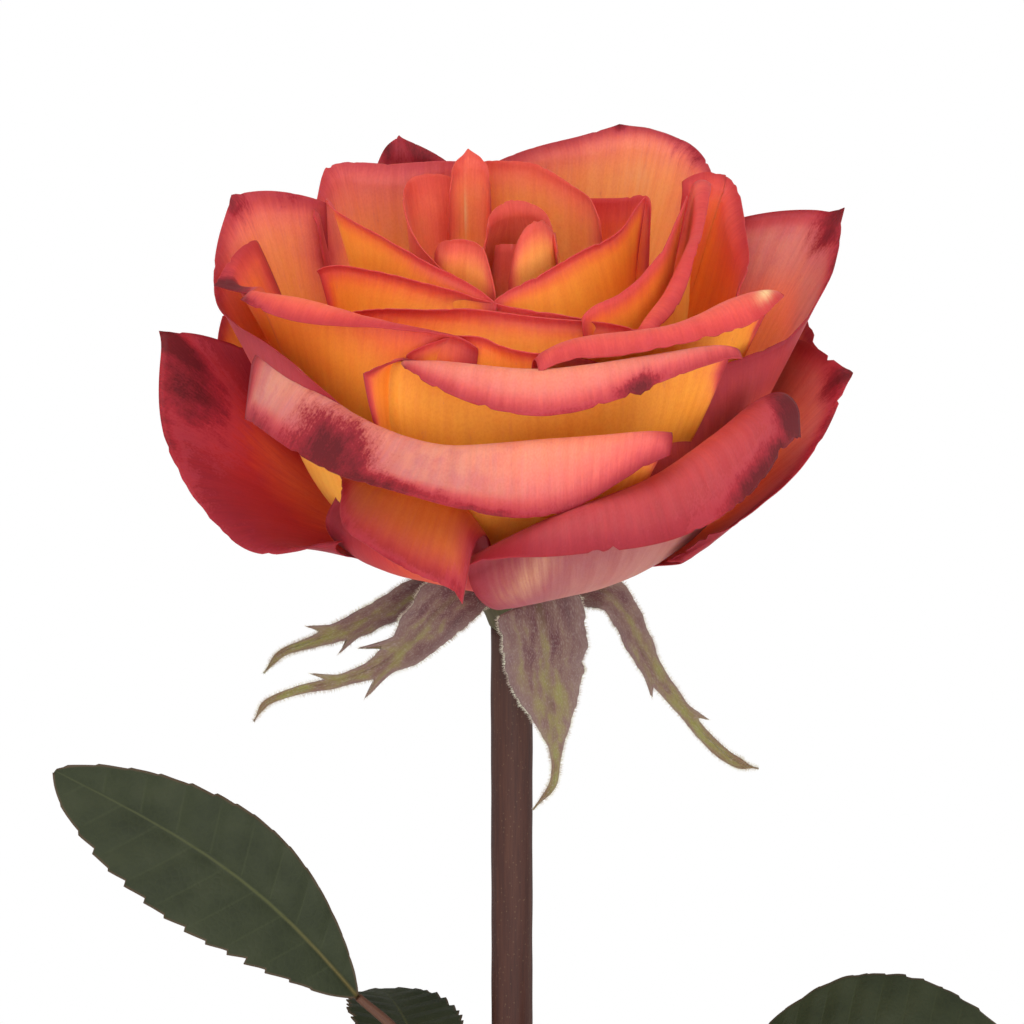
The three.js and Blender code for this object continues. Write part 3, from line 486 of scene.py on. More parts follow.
# %% [markdown]
# ## What makes a petal look grown
# A margin is never one clean line: it is puckered where the soft tissue grew faster than the veins, it
# waves slowly over the whole rim, it is nicked where it was rubbed, and many petals end in a small dry
# point. Puckers and waves move the skin by about half a millimetre, more towards the margin. Nicks and dry
# points are larger, up to 2.6 millimetres, and lie in the margin alone. It is all smooth noise with the
# petal's own number as its seed, so every run gives the same flower.

# %% Petal relief
across_steps = 84
wall_steps = 34
roll_steps = 22
plain_steps = 50
pucker_size = 4.2
pucker_length = 9
pucker_height = 0.12
wave_size = 13
wave_length = 30
wave_height = 0.55
wave_reach = 9
nick_size = 1.6
nick_least = 0.2
nick_depth = 1.5
nick_reach = 0.9
tip_half_width = 2.4
tip_reach = 5.0


def grid_lengths(rows):
    """For each point: the length along its column from the claw, and the half width of its row."""
    columns = range(len(rows[0]))
    along = [[0.0] * len(rows[0])]
    for lower, upper in zip(rows, rows[1:]):
        along.append([along[-1][i] + (upper[i] - lower[i]).length for i in columns])
    widths = [sum((row[i + 1] - row[i]).length for i in columns[:-1]) / 2 for row in rows]
    return along, widths


def relaxed(rows, passes):
    """The rows with each point drawn towards its two neighbours, so a tight rim can't fold over itself."""
    for _ in range(passes):
        rows = [[row[0]] + [(a + 2 * b + c) / 4 for a, b, c in zip(row, row[1:], row[2:])] + [row[-1]]
                for row in rows]
    return rows


def relief(rows, seed, tip, worn):
    """Puckers, waves, nicks and the dry tip, as points moved from the rows."""
    along, widths = grid_lengths(rows)
    widest = max(widths)
    last = len(rows) - 1
    moved = []
    for j, row in enumerate(rows):
        below, above = rows[max(0, j - 1)], rows[min(last, j + 1)]
        new_row = []
        for i, p in enumerate(row):
            u = 2 * i / (len(row) - 1) - 1
            margin = along[last][i] - along[j][i]
            ahead = (above[i] - below[i]).normalized()
            side = row[min(len(row) - 1, i + 1)] - row[max(0, i - 1)]
            normal = side.cross(ahead).normalized()
            place = Vector((u * widest, margin, 7.3 * seed))
            pucker = noise.noise(Vector((place.x / pucker_size, place.y / pucker_length, place.z)))
            wave = noise.noise(Vector((place.x / wave_size, place.y / wave_length, place.z + 3)))
            shift = pucker_height * pucker * (0.35 + math.exp(-margin / 3))
            shift += wave_height * wave * math.exp(-margin / wave_reach) * min(1, along[j][i] / 20)
            nick = max(0, noise.noise(Vector((place.x / nick_size, 0, place.z + 5))) - nick_least)
            inward = nick_depth * worn * nick * math.exp(-margin / nick_reach)
            new = p + normal * shift - ahead * inward
            if tip:
                tip_u, tip_length = tip
                beside = abs(u - tip_u) * widest / tip_half_width
                new += ahead * tip_length * math.exp(-beside) * max(0, 1 - margin / tip_reach) ** 2
            new_row.append(new)
        moved.append(new_row)
    return moved


# %% [markdown]
# ## Where each petal is pink, dark or pale
# The pigment is not even. The coral flush starts at the margin and fades inwards over blush millimetres on
# the inner face, and over back millimetres on the outer one. skin names the palette. deep is how crimson
# the flush is on the inner and the outer face, down to dark millimetres from the margin, and edge is how
# crimson the last two millimetres are. cream is how pale the outer face stays near its base. pale is how
# strong the pale pink is on a rolled margin or under an upright one: partly a paler pigment and partly a
# painted highlight where the crest catches the light from above. fading is how much of it is lost towards
# the right. spots are the maroon bruises: place across, millimetres from the margin, half width, half
# length and strength. glints are cream patches, given in the same way. tip is the dry point: its place
# across and its length. worn is how nicked the margin is, soft how far a tight rim is relaxed, and tuck how
# many millimetres the left end is drawn back, behind the petal beside it.

# %% Pigment of each petal
plain_looks = dict(skin="golden", blush=8, back=4, deep=(0, 0), dark=14, edge=0.25, cream=0.0, pale=0.15,
                   spots=[], glints=[], tip=None, worn=0.5, soft=0, tuck=0, fading=0)
petal_looks = {
    "petal_heart_core": dict(skin="heart", blush=13, back=9, deep=(0.3, 0.1)),
    "petal_heart_right": dict(skin="heart", blush=6, back=3.2),
    "petal_heart_arch": dict(skin="heart", blush=12, back=9, deep=(0.1, 0), soft=40),
    "petal_heart_left": dict(skin="heart", blush=8, back=3.4),
    "petal_heart_dark": dict(skin="heart", blush=11, back=5),
    "petal_heart_fold": dict(skin="heart", blush=6, back=11, cream=0.1, pale=0.1, tip=(-0.1, 1.6),
                             soft=40, glints=[(0, 9, 1.1, 5, 0.9)]),
    "petal_heart_back": dict(skin="heart", blush=4, back=7, pale=0.2),
    "petal_inner_right": dict(blush=9, back=2, tip=(0.9, 1)),
    "petal_inner_left": dict(blush=7, back=2.6, tip=(-1, 1)),
    "petal_inner_back": dict(blush=8, back=5),
    "petal_inner_far_right": dict(blush=5, back=2.6),
    "petal_inner_front": dict(blush=5, back=2.8),
    "petal_middle_right": dict(blush=8, back=4, pale=0),
    "petal_middle_front": dict(blush=6, back=3),
    "petal_middle_low": dict(blush=6, back=2.4),
    "petal_middle_back_right": dict(blush=7, back=8, edge=0.5),
    "petal_middle_back_left": dict(skin="pink", blush=7, back=6, pale=0.35, tip=(0.6, 0.6)),
    "petal_middle_back": dict(skin="pink", blush=4.4, back=6, edge=0.6, cream=0.35, pale=0.25,
                              tip=(0.14, 1), spots=[(0.14, 0, 1.5, 1.6, 0.9), (-0.65, 0, 12, 3, 0.55)],
                              glints=[(-0.1, 9, 6, 4, 0.45)]),
    "petal_front_right": dict(blush=12, back=2.6, edge=0.4, pale=0.3, glints=[(0.74, 2.8, 4, 1.6, 1.0)]),
    "petal_front": dict(skin="pink", blush=8, back=2.2, edge=0.7, pale=0.6, tip=(0.42, 1.2),
                        spots=[(0.41, 0.6, 4.5, 2.2, 1.0), (0.15, 0, 8, 1.2, 0.5)], worn=1),
    "petal_left": dict(blush=6, back=7, edge=0.6, pale=0.2, tip=(-0.5, 2),
                       spots=[(-0.47, 0.5, 5, 3.5, 1.2), (-0.3, 0, 7, 1.5, 0.8)]),
    "petal_left_back": dict(skin="pink", blush=6, back=22, deep=(0, 0.5), dark=24, edge=0.7, pale=0.3,
                            tip=(-0.5, 1.6), spots=[(-0.5, 0, 4, 3, 0.8), (-0.8, 0, 7, 1.6, 0.5)]),
    "petal_right_back": dict(skin="pink", blush=16, back=18, deep=(0, 0.3), edge=0.9, pale=0.75,
                             tip=(0.5, 2.6), spots=[(0.5, 0, 6, 7, 0.9), (0.3, 0, 9, 1.8, 0.8)]),
    "petal_back_tip": dict(skin="crimson", blush=14, back=12, deep=(0.9, 0.9), tip=(0.05, 1),
                           spots=[(-0.3, 1, 6, 5, 0.8), (0.4, 0, 4, 3, 0.9)]),
    "petal_front_left_wide": dict(skin="pink", blush=12, back=3, edge=1, pale=0.85, fading=0.8, cream=0.2,
                                  spots=[(-0.4, 2, 11, 8, 1.0), (-0.2, 0, 16, 3, 1.0),
                                         (-0.8, 0, 7, 3, 0.7), (0.2, 0, 12, 1.4, 0.8)], worn=1),
    "petal_front_right_wide": dict(skin="crimson", blush=16, back=24, deep=(0.4, 0), edge=0.9, pale=0.3,
                                   cream=0.2, tip=(1, 1.5), glints=[(-0.72, 16, 7, 6, 0.5)],
                                   spots=[(0.6, 0, 14, 4, 1.15), (0.95, 3, 6, 7, 1.2)], worn=1),
    # The front guard petal's darker ochre skin is partly painted shade, as it lies under the bloom.
    "petal_guard_front": dict(skin="ochre_shaded", blush=6, back=26, cream=0.2, deep=(0.1, 0.9), dark=40,
                              edge=0.9, pale=0.2, tuck=1.2,
                              spots=[(-0.2, 0, 7, 2, 0.7), (0.9, 0, 5, 4, 0.6), (0.3, 0, 8, 1.2, 0.7)]),
    "petal_guard_right": dict(skin="pink", blush=12, back=9, deep=(0.15, 0.9), edge=1, cream=0.4,
                              pale=0.5, tip=(0.5, 2.4),
                              spots=[(0.5, 0, 4.5, 5, 1.0), (0.2, 0, 9, 2, 0.8)], worn=1.2),
    "petal_guard_left": dict(skin="crimson", blush=20, back=16, deep=(0.95, 0.9), dark=14, edge=1,
                             cream=0.4, pale=0, tip=(-0.5, 2.4),
                             spots=[(-0.5, 1, 5, 12, 1.1), (-0.36, 6, 10, 9, 0.95),
                                    (-0.1, 0, 12, 3, 0.7)]),
    "petal_guard_back_right": dict(skin="crimson", blush=8, back=11, deep=(0, 0.5), edge=0.8, cream=0.9,
                                   pale=0, spots=[(0.1, 0, 6, 3, 0.7)], worn=1),
    "petal_guard_back_left": dict(skin="golden", blush=3, back=11, deep=(0, 0.5), edge=0.8, cream=0.9,
                                  pale=0, spots=[(0, 0, 6, 1.5, 0.5)], worn=1),
}
edge_width = 2.0


def strongest(patches, u, widest, top):
    """How strong the strongest of some soft oval patches is at a point."""
    found = 0
    for place, depth, half_width, half_length, strength in patches:
        over, down = (u - place) * widest / half_width, (top - depth) / half_length
        found = max(found, strength * math.exp(-(over * over + down * down)))
    return found


def petal_marks(petal, rows, looks):
    """Each point's grain coordinates, flush, depth and marks; the pale mark is partly a painted highlight.
    """
    along, widths = grid_lengths(rows)
    last = len(rows) - 1
    widest = max(widths)
    marks = {key: [[] for _ in rows] for key in ("grain", "flush", "deep", "mark")}
    for j, row in enumerate(rows):
        for i in range(len(row)):
            u = 2 * i / (len(row) - 1) - 1
            top = along[last][i] - along[j][i]
            side = (1 - abs(u)) * widths[j] + 0.8 * max(0, top - 10)
            margin = min(top, side)
            marks["grain"][j].append(Vector((u * widest, along[j][i], margin)))
            marks["flush"][j].append(Vector((1 / (1 + (margin / looks["blush"]) ** 1.7),
                                             1 / (1 + (margin / looks["back"]) ** 2.2), 0)))
            edge = looks["edge"] * math.exp(-(margin / edge_width) ** 1.5)
            fade = 1 - smooth(looks["dark"], 2.4 * looks["dark"], margin)
            inner, outer = (deep * fade + (1 - deep * fade) * edge for deep in looks["deep"])
            marks["deep"][j].append(Vector((inner, outer, looks["cream"])))
            bruise, glint = (strongest(looks[key], u, widest, top) for key in ("spots", "glints"))
            # The pale pink near the crest of a roll is partly paler pigment and partly a painted highlight
            # where the crest catches the light from above.
            angle, straight = roll_at(petal, u)
            hem = max(9, petal["bend"] * angle + straight)
            bloom_and_highlight = smooth(0.5, 4, margin) * (1 - smooth(hem, 2.2 * hem, top))
            bloom_and_highlight *= 1 - looks["fading"] * smooth(0, 0.9, u)
            marks["mark"][j].append(Vector((bruise, looks["pale"] * bloom_and_highlight, glint)))
    return marks


# %% [markdown]
# ## The petals' finish
# A rose petal has no wax shine: its skin is made of tiny cones, which gives a velvety surface that turns
# pinker where it is seen at a low angle, and light soaks into it. So the shader is rough, with a pink sheen
# and some subsurface light. The colour is read from the petal's own attributes. Fine streaks run from the
# claw to the margin, as the veins do, and soft mottling breaks up every border between two colours.

# %% Petal finishes
pattern_sizes = {"streak": (0.45, 5.5, 40), "vein": (1.5, 26, 60), "mottle": (2.6, 3.6, 20),
                 "skin": (0.33, 0.45, 5)}
pattern_details = {"streak": 2.0, "vein": 1.0, "mottle": 4.0, "skin": 1.0}


def petal_finish(name, flush_axis, shades, cream):
    """Petal skin of one face; flush_axis is where this face's flush lies in the flush attribute."""
    finish, tree, shader = new_finish(name)
    grain, flush, deep, mark = (
        add(tree, "ShaderNodeAttribute", attribute_name=key)["Vector"]
        for key in ("grain", "flush", "deep", "mark"))
    patterns = {}
    for key, size in pattern_sizes.items():
        place = add(tree, "ShaderNodeMapping", [("Vector", grain), ("Scale", [1 / s for s in size])])
        patterns[key] = add(tree, "ShaderNodeTexNoise", [
            ("Vector", place["Vector"]), ("Scale", 1.0), ("Detail", pattern_details[key])])["Fac"]
    parts = add(tree, "ShaderNodeSeparateXYZ", [("Vector", flush)])
    depth = add(tree, "ShaderNodeSeparateXYZ", [("Vector", deep)])
    spots = add(tree, "ShaderNodeSeparateXYZ", [("Vector", mark)])

    def shifted(value, pattern, amount):
        """The value moved up and down by a pattern around its middle."""
        centred = add(tree, "ShaderNodeMath", [(0, pattern), (1, 0.5)], operation="SUBTRACT")[0]
        return add(tree, "ShaderNodeMath", [(0, centred), (1, amount), (2, value)],
                   operation="MULTIPLY_ADD", use_clamp=True)[0]

    place = shifted(shifted(parts[flush_axis], patterns["streak"], 0.22), patterns["mottle"], 0.16)
    plain = add(tree, "ShaderNodeValToRGB", [("Fac", place)], shades)["Color"]
    dark = add(tree, "ShaderNodeValToRGB", [("Fac", place)], crimson_shades)["Color"]
    base = add(tree, "ShaderNodeMath", [(0, 1.0), (1, place)], operation="SUBTRACT")[0]
    base = add(tree, "ShaderNodeMath", [(0, base), (1, depth["Z"])], operation="MULTIPLY")[0]
    base = shifted(base, patterns["vein"], 0.25)
    base = add(tree, "ShaderNodeMath", [(0, base), (1, depth["Z"])], operation="MULTIPLY")[0]
    colour = add(tree, "ShaderNodeMix", [(0, base), (6, plain), (7, linear(cream))], data_type="RGBA")[2]
    # On the inner face, the pale pink on a rolled margin is partly paler pigment and partly a painted
    # highlight.
    if flush_axis == "X":
        pale = shifted(spots["Y"], patterns["streak"], 0.5)
        pale = add(tree, "ShaderNodeMath", [(0, pale), (1, spots["Y"])], operation="MULTIPLY")[0]
        bloom_and_highlight = add(tree, "ShaderNodeValToRGB", [("Fac", patterns["mottle"])],
                    [(0.35, "#b97a7a"), (0.6, "#cb927e")])["Color"]
        colour = add(tree, "ShaderNodeMix", [(0, pale), (6, colour), (7, bloom_and_highlight)], data_type="RGBA")[2]
    colour = add(tree, "ShaderNodeMix", [(0, depth[flush_axis]), (6, colour), (7, dark)],
                 data_type="RGBA")[2]
    glint = shifted(shifted(spots["Z"], patterns["streak"], 0.9), patterns["vein"], 0.5)
    glint = add(tree, "ShaderNodeMath", [(0, glint), (1, spots["Z"])], operation="MULTIPLY")[0]
    colour = add(tree, "ShaderNodeMix", [(0, glint), (6, colour), (7, linear("#f0c890"))],
                 data_type="RGBA")[2]
    for key, shade, share in (("vein", "#f0dcd0", 0.4), ("skin", "#efd2cc", 0.3)):
        spread = add(tree, "ShaderNodeValToRGB", [("Fac", patterns[key])],
                     [(0.32, shade), (0.62, "#ffffff")])["Color"]
        colour = add(tree, "ShaderNodeMix", [(0, share), (6, colour), (7, spread)],
                     data_type="RGBA", blend_type="MULTIPLY")[2]
    bruise = shifted(shifted(spots["X"], patterns["mottle"], 0.75), patterns["streak"], 0.25)
    bruise = shifted(bruise, patterns["skin"], 0.4)
    bruise = add(tree, "ShaderNodeMapRange", [
        ("Value", bruise), ("From Min", 0.14), ("From Max", 1.0)])[0]
    dark_skin = add(tree, "ShaderNodeValToRGB", [("Fac", bruise)],
                    [(0.1, "#bc4450"), (0.45, "#951e2b"), (0.95, "#5c0b14")])["Color"]
    cover = add(tree, "ShaderNodeMath", [(0, bruise), (1, 1.8)], operation="MULTIPLY", use_clamp=True)[0]
    colour = add(tree, "ShaderNodeMix", [(0, cover), (6, colour), (7, dark_skin)], data_type="RGBA")[2]
    height = add(tree, "ShaderNodeMath", [(0, patterns["vein"]), (1, patterns["streak"])])[0]
    bump = add(tree, "ShaderNodeBump", [("Height", height), ("Strength", 0.25), ("Distance", 0.12 * mm)])
    tree.links.new(colour, shader.inputs["Base Color"])
    tree.links.new(bump[0], shader.inputs["Normal"])
    shader.inputs["Roughness"].default_value = 0.6
    shader.inputs["Sheen Weight"].default_value = 0.06
    shader.inputs["Sheen Roughness"].default_value = 0.4
    shader.inputs["Sheen Tint"].default_value = linear("#f0b4b4")
    shader.inputs["Subsurface Weight"].default_value = 0.5
    shader.inputs["Subsurface Radius"].default_value = (1.0, 0.4, 0.12)
    shader.inputs["Subsurface Scale"].default_value = 1.1 * mm
    shader.inputs["Specular IOR Level"].default_value = 0.25
    return finish


crimson_shades = [(0, "#ec8a2c"), (0.3, "#dc4e28"), (0.6, "#b4282c"), (1, "#861a28")]
# Each skin has the shades of its outer face from base to margin, then those of its inner face, then the
# cream at the base of both. The ochre skin is the golden one darkened, partly a darker pigment and partly
# painted shade for the low front guard petal under the bloom.
petal_skins = {
    "heart": (["#ffae54", "#fe9a50", "#f48054", "#e86852", "#dc5648"],
              ["#ffb45c", "#fe9e56", "#f88a5c", "#f07458", "#de5848"], "#ffd898", "#ffc484"),
    "golden": (["#fda034", "#fc9034", "#f4763a", "#e6604c", "#d44848"],
               ["#ff982c", "#fc8832", "#f47440", "#e6604e", "#d24646"], "#f2d29a", "#f5b048"),
    "ochre_shaded": (["#d88a30", "#c87434", "#b0503c", "#9a3a40", "#8c2c38"],
              ["#c3741e", "#c06a24", "#b8562a", "#aa3c30", "#98282c"], "#f2d29a", "#f0b850"),
    "pink": (["#fda236", "#f89644", "#ec7850", "#d65a54", "#c0464e"],
             ["#ffa84c", "#ff985a", "#f48464", "#e26a60", "#c84c52"], "#f2d29a", "#ffcc88"),
    "crimson": (["#c08860", "#ac6c66", "#9a5458", "#94404e", "#8e2e3a"],
                ["#ee8a32", "#e06a3e", "#ca5048", "#b84048", "#a63240"], "#f2d8a4", "#f0b850"),
}
petal_finishes = {
    skin: [petal_finish(f"petal_{skin}_{side}", axis, list(zip((0, 0.3, 0.55, 0.8, 1), shades)), cream)
           for side, axis, shades, cream in (("outer", "Y", palette[0], palette[2]),
                                             ("inner", "X", palette[1], palette[3]))]
    for skin, palette in petal_skins.items()}
print("petal finishes:", [finish.name for pair in petal_finishes.values() for finish in pair])

# %% [markdown]
# ## Making the petals
# The bare forms come first, all of them. Each point then looks for the nearest other petal, and its puckers
# and waves may use only half of the room that is left. Nothing parts two bare forms that cross already. The
# search goes no further than search_reach, past which a point is taken to be in the open.

# %% Make the petals
petal_thickness = 0.36
thinning_width = 5
clear_between = 0.42
search_reach = 2.2
open_room = 6
least_step = 0.02
grain_apart = 50
tuck_from, tuck_to = 0.75, 0.95
petal_grids = []
for petal in petals:
    rolled = roll_steps if has_roll(petal) else 0
    up_steps = wall_steps if rolled else plain_steps
    columns = [petal_column(petal, 2 * i / across_steps - 1, up_steps, rolled)
               for i in range(across_steps + 1)]
    grid_rows = [[column[j] for column in columns] for j in range(len(columns[0]))]
    looks = plain_looks | petal_looks[petal["name"]]
    for row in grid_rows:
        for i, place in enumerate(row):
            place.y += looks["tuck"] * smooth(tuck_from, tuck_to, 1 - 2 * i / across_steps)
    petal_grids.append(relaxed(grid_rows, looks["soft"]))

all_points, all_faces, owners = [], [], []
for k, rows in enumerate(petal_grids):
    first, wide = len(all_points), across_steps + 1
    all_points += [p for row in rows for p in row]
    for j in range(len(rows) - 1):
        for i in range(across_steps):
            corner = first + j * wide + i
            all_faces.append((corner, corner + 1, corner + wide + 1, corner + wide))
            owners.append(k)
neighbours = BVHTree.FromPolygons(all_points, all_faces)


def room_at(place, k):
    """How far a point of petal k may move before it could meet another petal."""
    found = [distance for _, _, face, distance in neighbours.find_nearest_range(place, search_reach)
             if owners[face] != k]
    return max(0, (min(found, default=open_room) - clear_between) / 2)


for k, (petal, bare) in enumerate(zip(petals, petal_grids)):
    looks = plain_looks | petal_looks[petal["name"]]
    marks = petal_marks(petal, bare, looks)
    for row in marks["grain"]:
        for place in row:
            place.x += grain_apart * k
    rows = []
    for bare_row, moved_row in zip(bare, relief(bare, k, looks["tip"], looks["worn"])):
        rows.append([])
        for p, q in zip(bare_row, moved_row):
            step = q - p
            room = room_at(p, k) if step.length > least_step else 1
            rows[-1].append(p + step * min(1, room / max(step.length, 1e-6)))
    weights = [[min(1, 0.1 + place.z / thinning_width) for place in row] for row in marks["grain"]]
    piece = blade(petal["name"] + "_fine", (rows, marks, weights))
    thicken(piece, petal_thickness)
    dress(piece, petal["name"],
          petal_finishes[looks["skin"]])
print("petal faces:", sum(len(rows) - 1 for rows in petal_grids) * across_steps)


# %% [markdown]
# ## The sepals
# Five sepals held the bud and now hang back over the hip. Each is a hollow blade with a soft keel, a finely
# toothed margin and, on some, thin side lobes. The table gives points of the spine from the hip to the tip,
# as x right, y towards the front and z up, the half width at each point, and the lobes as place, side and
# length.

# %% The sepals
sepals = [
    dict(name="sepal_front", face=(0, 1, 0.2), lobes=[],
         spine=[(1, 7.2, -0.9), (3.8, 11.5, -1.2), (5.2, 12.8, -7.9), (5.3, 12.6, -13.6),
                (6.3, 12.5, -20), (6.9, 12.3, -25.5), (7.1, 12, -29.8), (6.6, 12, -34.5),
                (3.4, 12, -39.2)],
         half=[3.6, 6.2, 6.7, 6.1, 4.1, 1.9, 0.8, 0.6, 0.3]),
    dict(name="sepal_left_upper", face=(0, 1, 0.6), lobes=[(0.52, -1, 2), (0.62, 1, 1.8)],
         spine=[(-6.6, 1.5, -0.9), (-12.5, 2.5, -3.6), (-18.7, 2, -7.1), (-23, 2, -9.6),
                (-27.9, 2, -11.9), (-32.9, 2, -14), (-37.3, 2, -15.8), (-40.3, 2, -19.4)],
         half=[2.8, 3, 2.3, 2.1, 1.6, 0.9, 0.6, 0.3]),
    dict(name="sepal_left_lower", face=(0, 1, 0.5), lobes=[(0.5, -1, 2.6), (0.42, 1, 3), (0.66, 1, 2)],
         spine=[(-4.6, 5.9, -0.9), (-9, 8.5, -2.6), (-12.2, 9, -5.4), (-15.2, 8.6, -9.6),
                (-19.2, 8, -13.7), (-24, 8, -16.4), (-29, 8, -18.2), (-34.5, 8, -19.5),
                (-39.8, 8, -21.9), (-41.8, 8, -25.1)],
         half=[3.4, 4.6, 4.4, 3.6, 2.3, 1.3, 0.9, 0.7, 0.5, 0.3]),
    dict(name="sepal_right", face=(0.55, 1, 0.4), lobes=[(0.55, 1, 1.6), (0.7, -1, 1.8)],
         spine=[(5.6, 3.8, -0.9), (10.5, 6, -1.4), (15.2, 6.3, -2.9), (18.4, 6, -7.2),
                (20.4, 6, -12.4), (23.2, 6, -17.6), (27.4, 6, -23.5), (31.3, 6, -28.9),
                (36.4, 6, -33.6), (40.2, 6, -34.8)],
         half=[3, 3.4, 2.9, 2.5, 2.4, 1.7, 1.2, 1, 0.9, 0.4]),
    dict(name="sepal_back", face=(0, -0.4, 1), lobes=[(0.5, -1, 2.6), (0.58, 1, 2.6)],
         spine=[(0.5, -7.2, -0.9), (1, -13, -2.6), (2, -19, -5.2), (3.2, -25, -9),
                (4.2, -29, -14.5), (4.8, -30.5, -21)],
         half=[3.4, 4.2, 3.6, 2.2, 1, 0.3]),
]
sepal_hollow = 0.12
sepal_thickness = 0.5
sepal_columns = 24
sepal_rows = 130
lobe_half_width = 0.7


def sepal_rows_of(sepal, seed):
    """The points of a sepal and the marks on them: millimetres across, along and from the margin."""
    spine = [point(row) for row in sepal["spine"]]
    halves = [Vector((half, 0, 0)) for half in sepal["half"]]
    face = point(sepal["face"]).normalized()
    length = sum((b - a).length for a, b in zip(spine, spine[1:]))
    rows, grain, flush = [], [], []
    for j in range(sepal_rows + 1):
        share = j / sepal_rows
        centre = spline(spine, share)
        ahead = (spline(spine, share + 1e-3) - spline(spine, share - 1e-3)).normalized()
        side = ahead.cross(face).normalized()
        up = side.cross(ahead).normalized()
        half = max(0.05, spline(halves, share, power=0).x * (1 - smooth(0.9, 1.01, share)))
        fade = smooth(0, 0.12, share)
        rows.append([])
        grain.append([])
        flush.append([])
        for i in range(sepal_columns + 1):
            x = 2 * i / sepal_columns - 1
            hand = 1 if x > 0 else -1
            tooth = (share * length / 1.7 + 3.1 * seed + 0.37 * hand) % 1
            ragged = 1 + fade * (0.04 * (tooth - 0.5)
                                 + 0.14 * noise.noise(Vector((share * 14, hand, seed))))
            lobe = sum(0.75 * reach * math.exp(-((share - place) * length / lobe_half_width) ** 2)
                       for place, which, reach in sepal["lobes"] if which == hand)
            reach = half * ragged * abs(x) + lobe * abs(x) ** 3
            raised = sepal_hollow * reach * abs(x) ** 0.5 * 1.1
            raised += 0.22 * fade * math.exp(-(x / 0.12) ** 2) * min(1, half / 3)
            raised += 0.1 * noise.noise(Vector((x * 6, share * length / 7, seed))) * min(1, half / 2)
            raised += 0.35 * noise.noise(Vector((hand * 3, share * length / 5, seed + 9))) * abs(x) ** 2
            forward = 2.2 * lobe * abs(x) ** 3
            rows[-1].append(centre + side * hand * reach + up * raised + ahead * forward)
            grain[-1].append(Vector((hand * half * abs(x) + 30 * seed, share * length,
                                     half * (1 - abs(x)) + 0.3 * lobe * (1 - abs(x)))))
            flush[-1].append(Vector((share, abs(x), noise.noise(Vector((x * 2, share * 5, seed)))) ))
    return rows, {"grain": grain, "flush": flush}


# %% [markdown]
# The upper face of a sepal is downy, purple-brown near the hip and olive further out, with a greyish pink
# edge. The lower face is bare olive to dark green. Both dry to brown at the tip. Down is far too fine to
# build hair by hair all over, so the colour carries most of it, as short pale fibres, and a fringe of real
# hairs is modelled along the margins, where they show against the light.

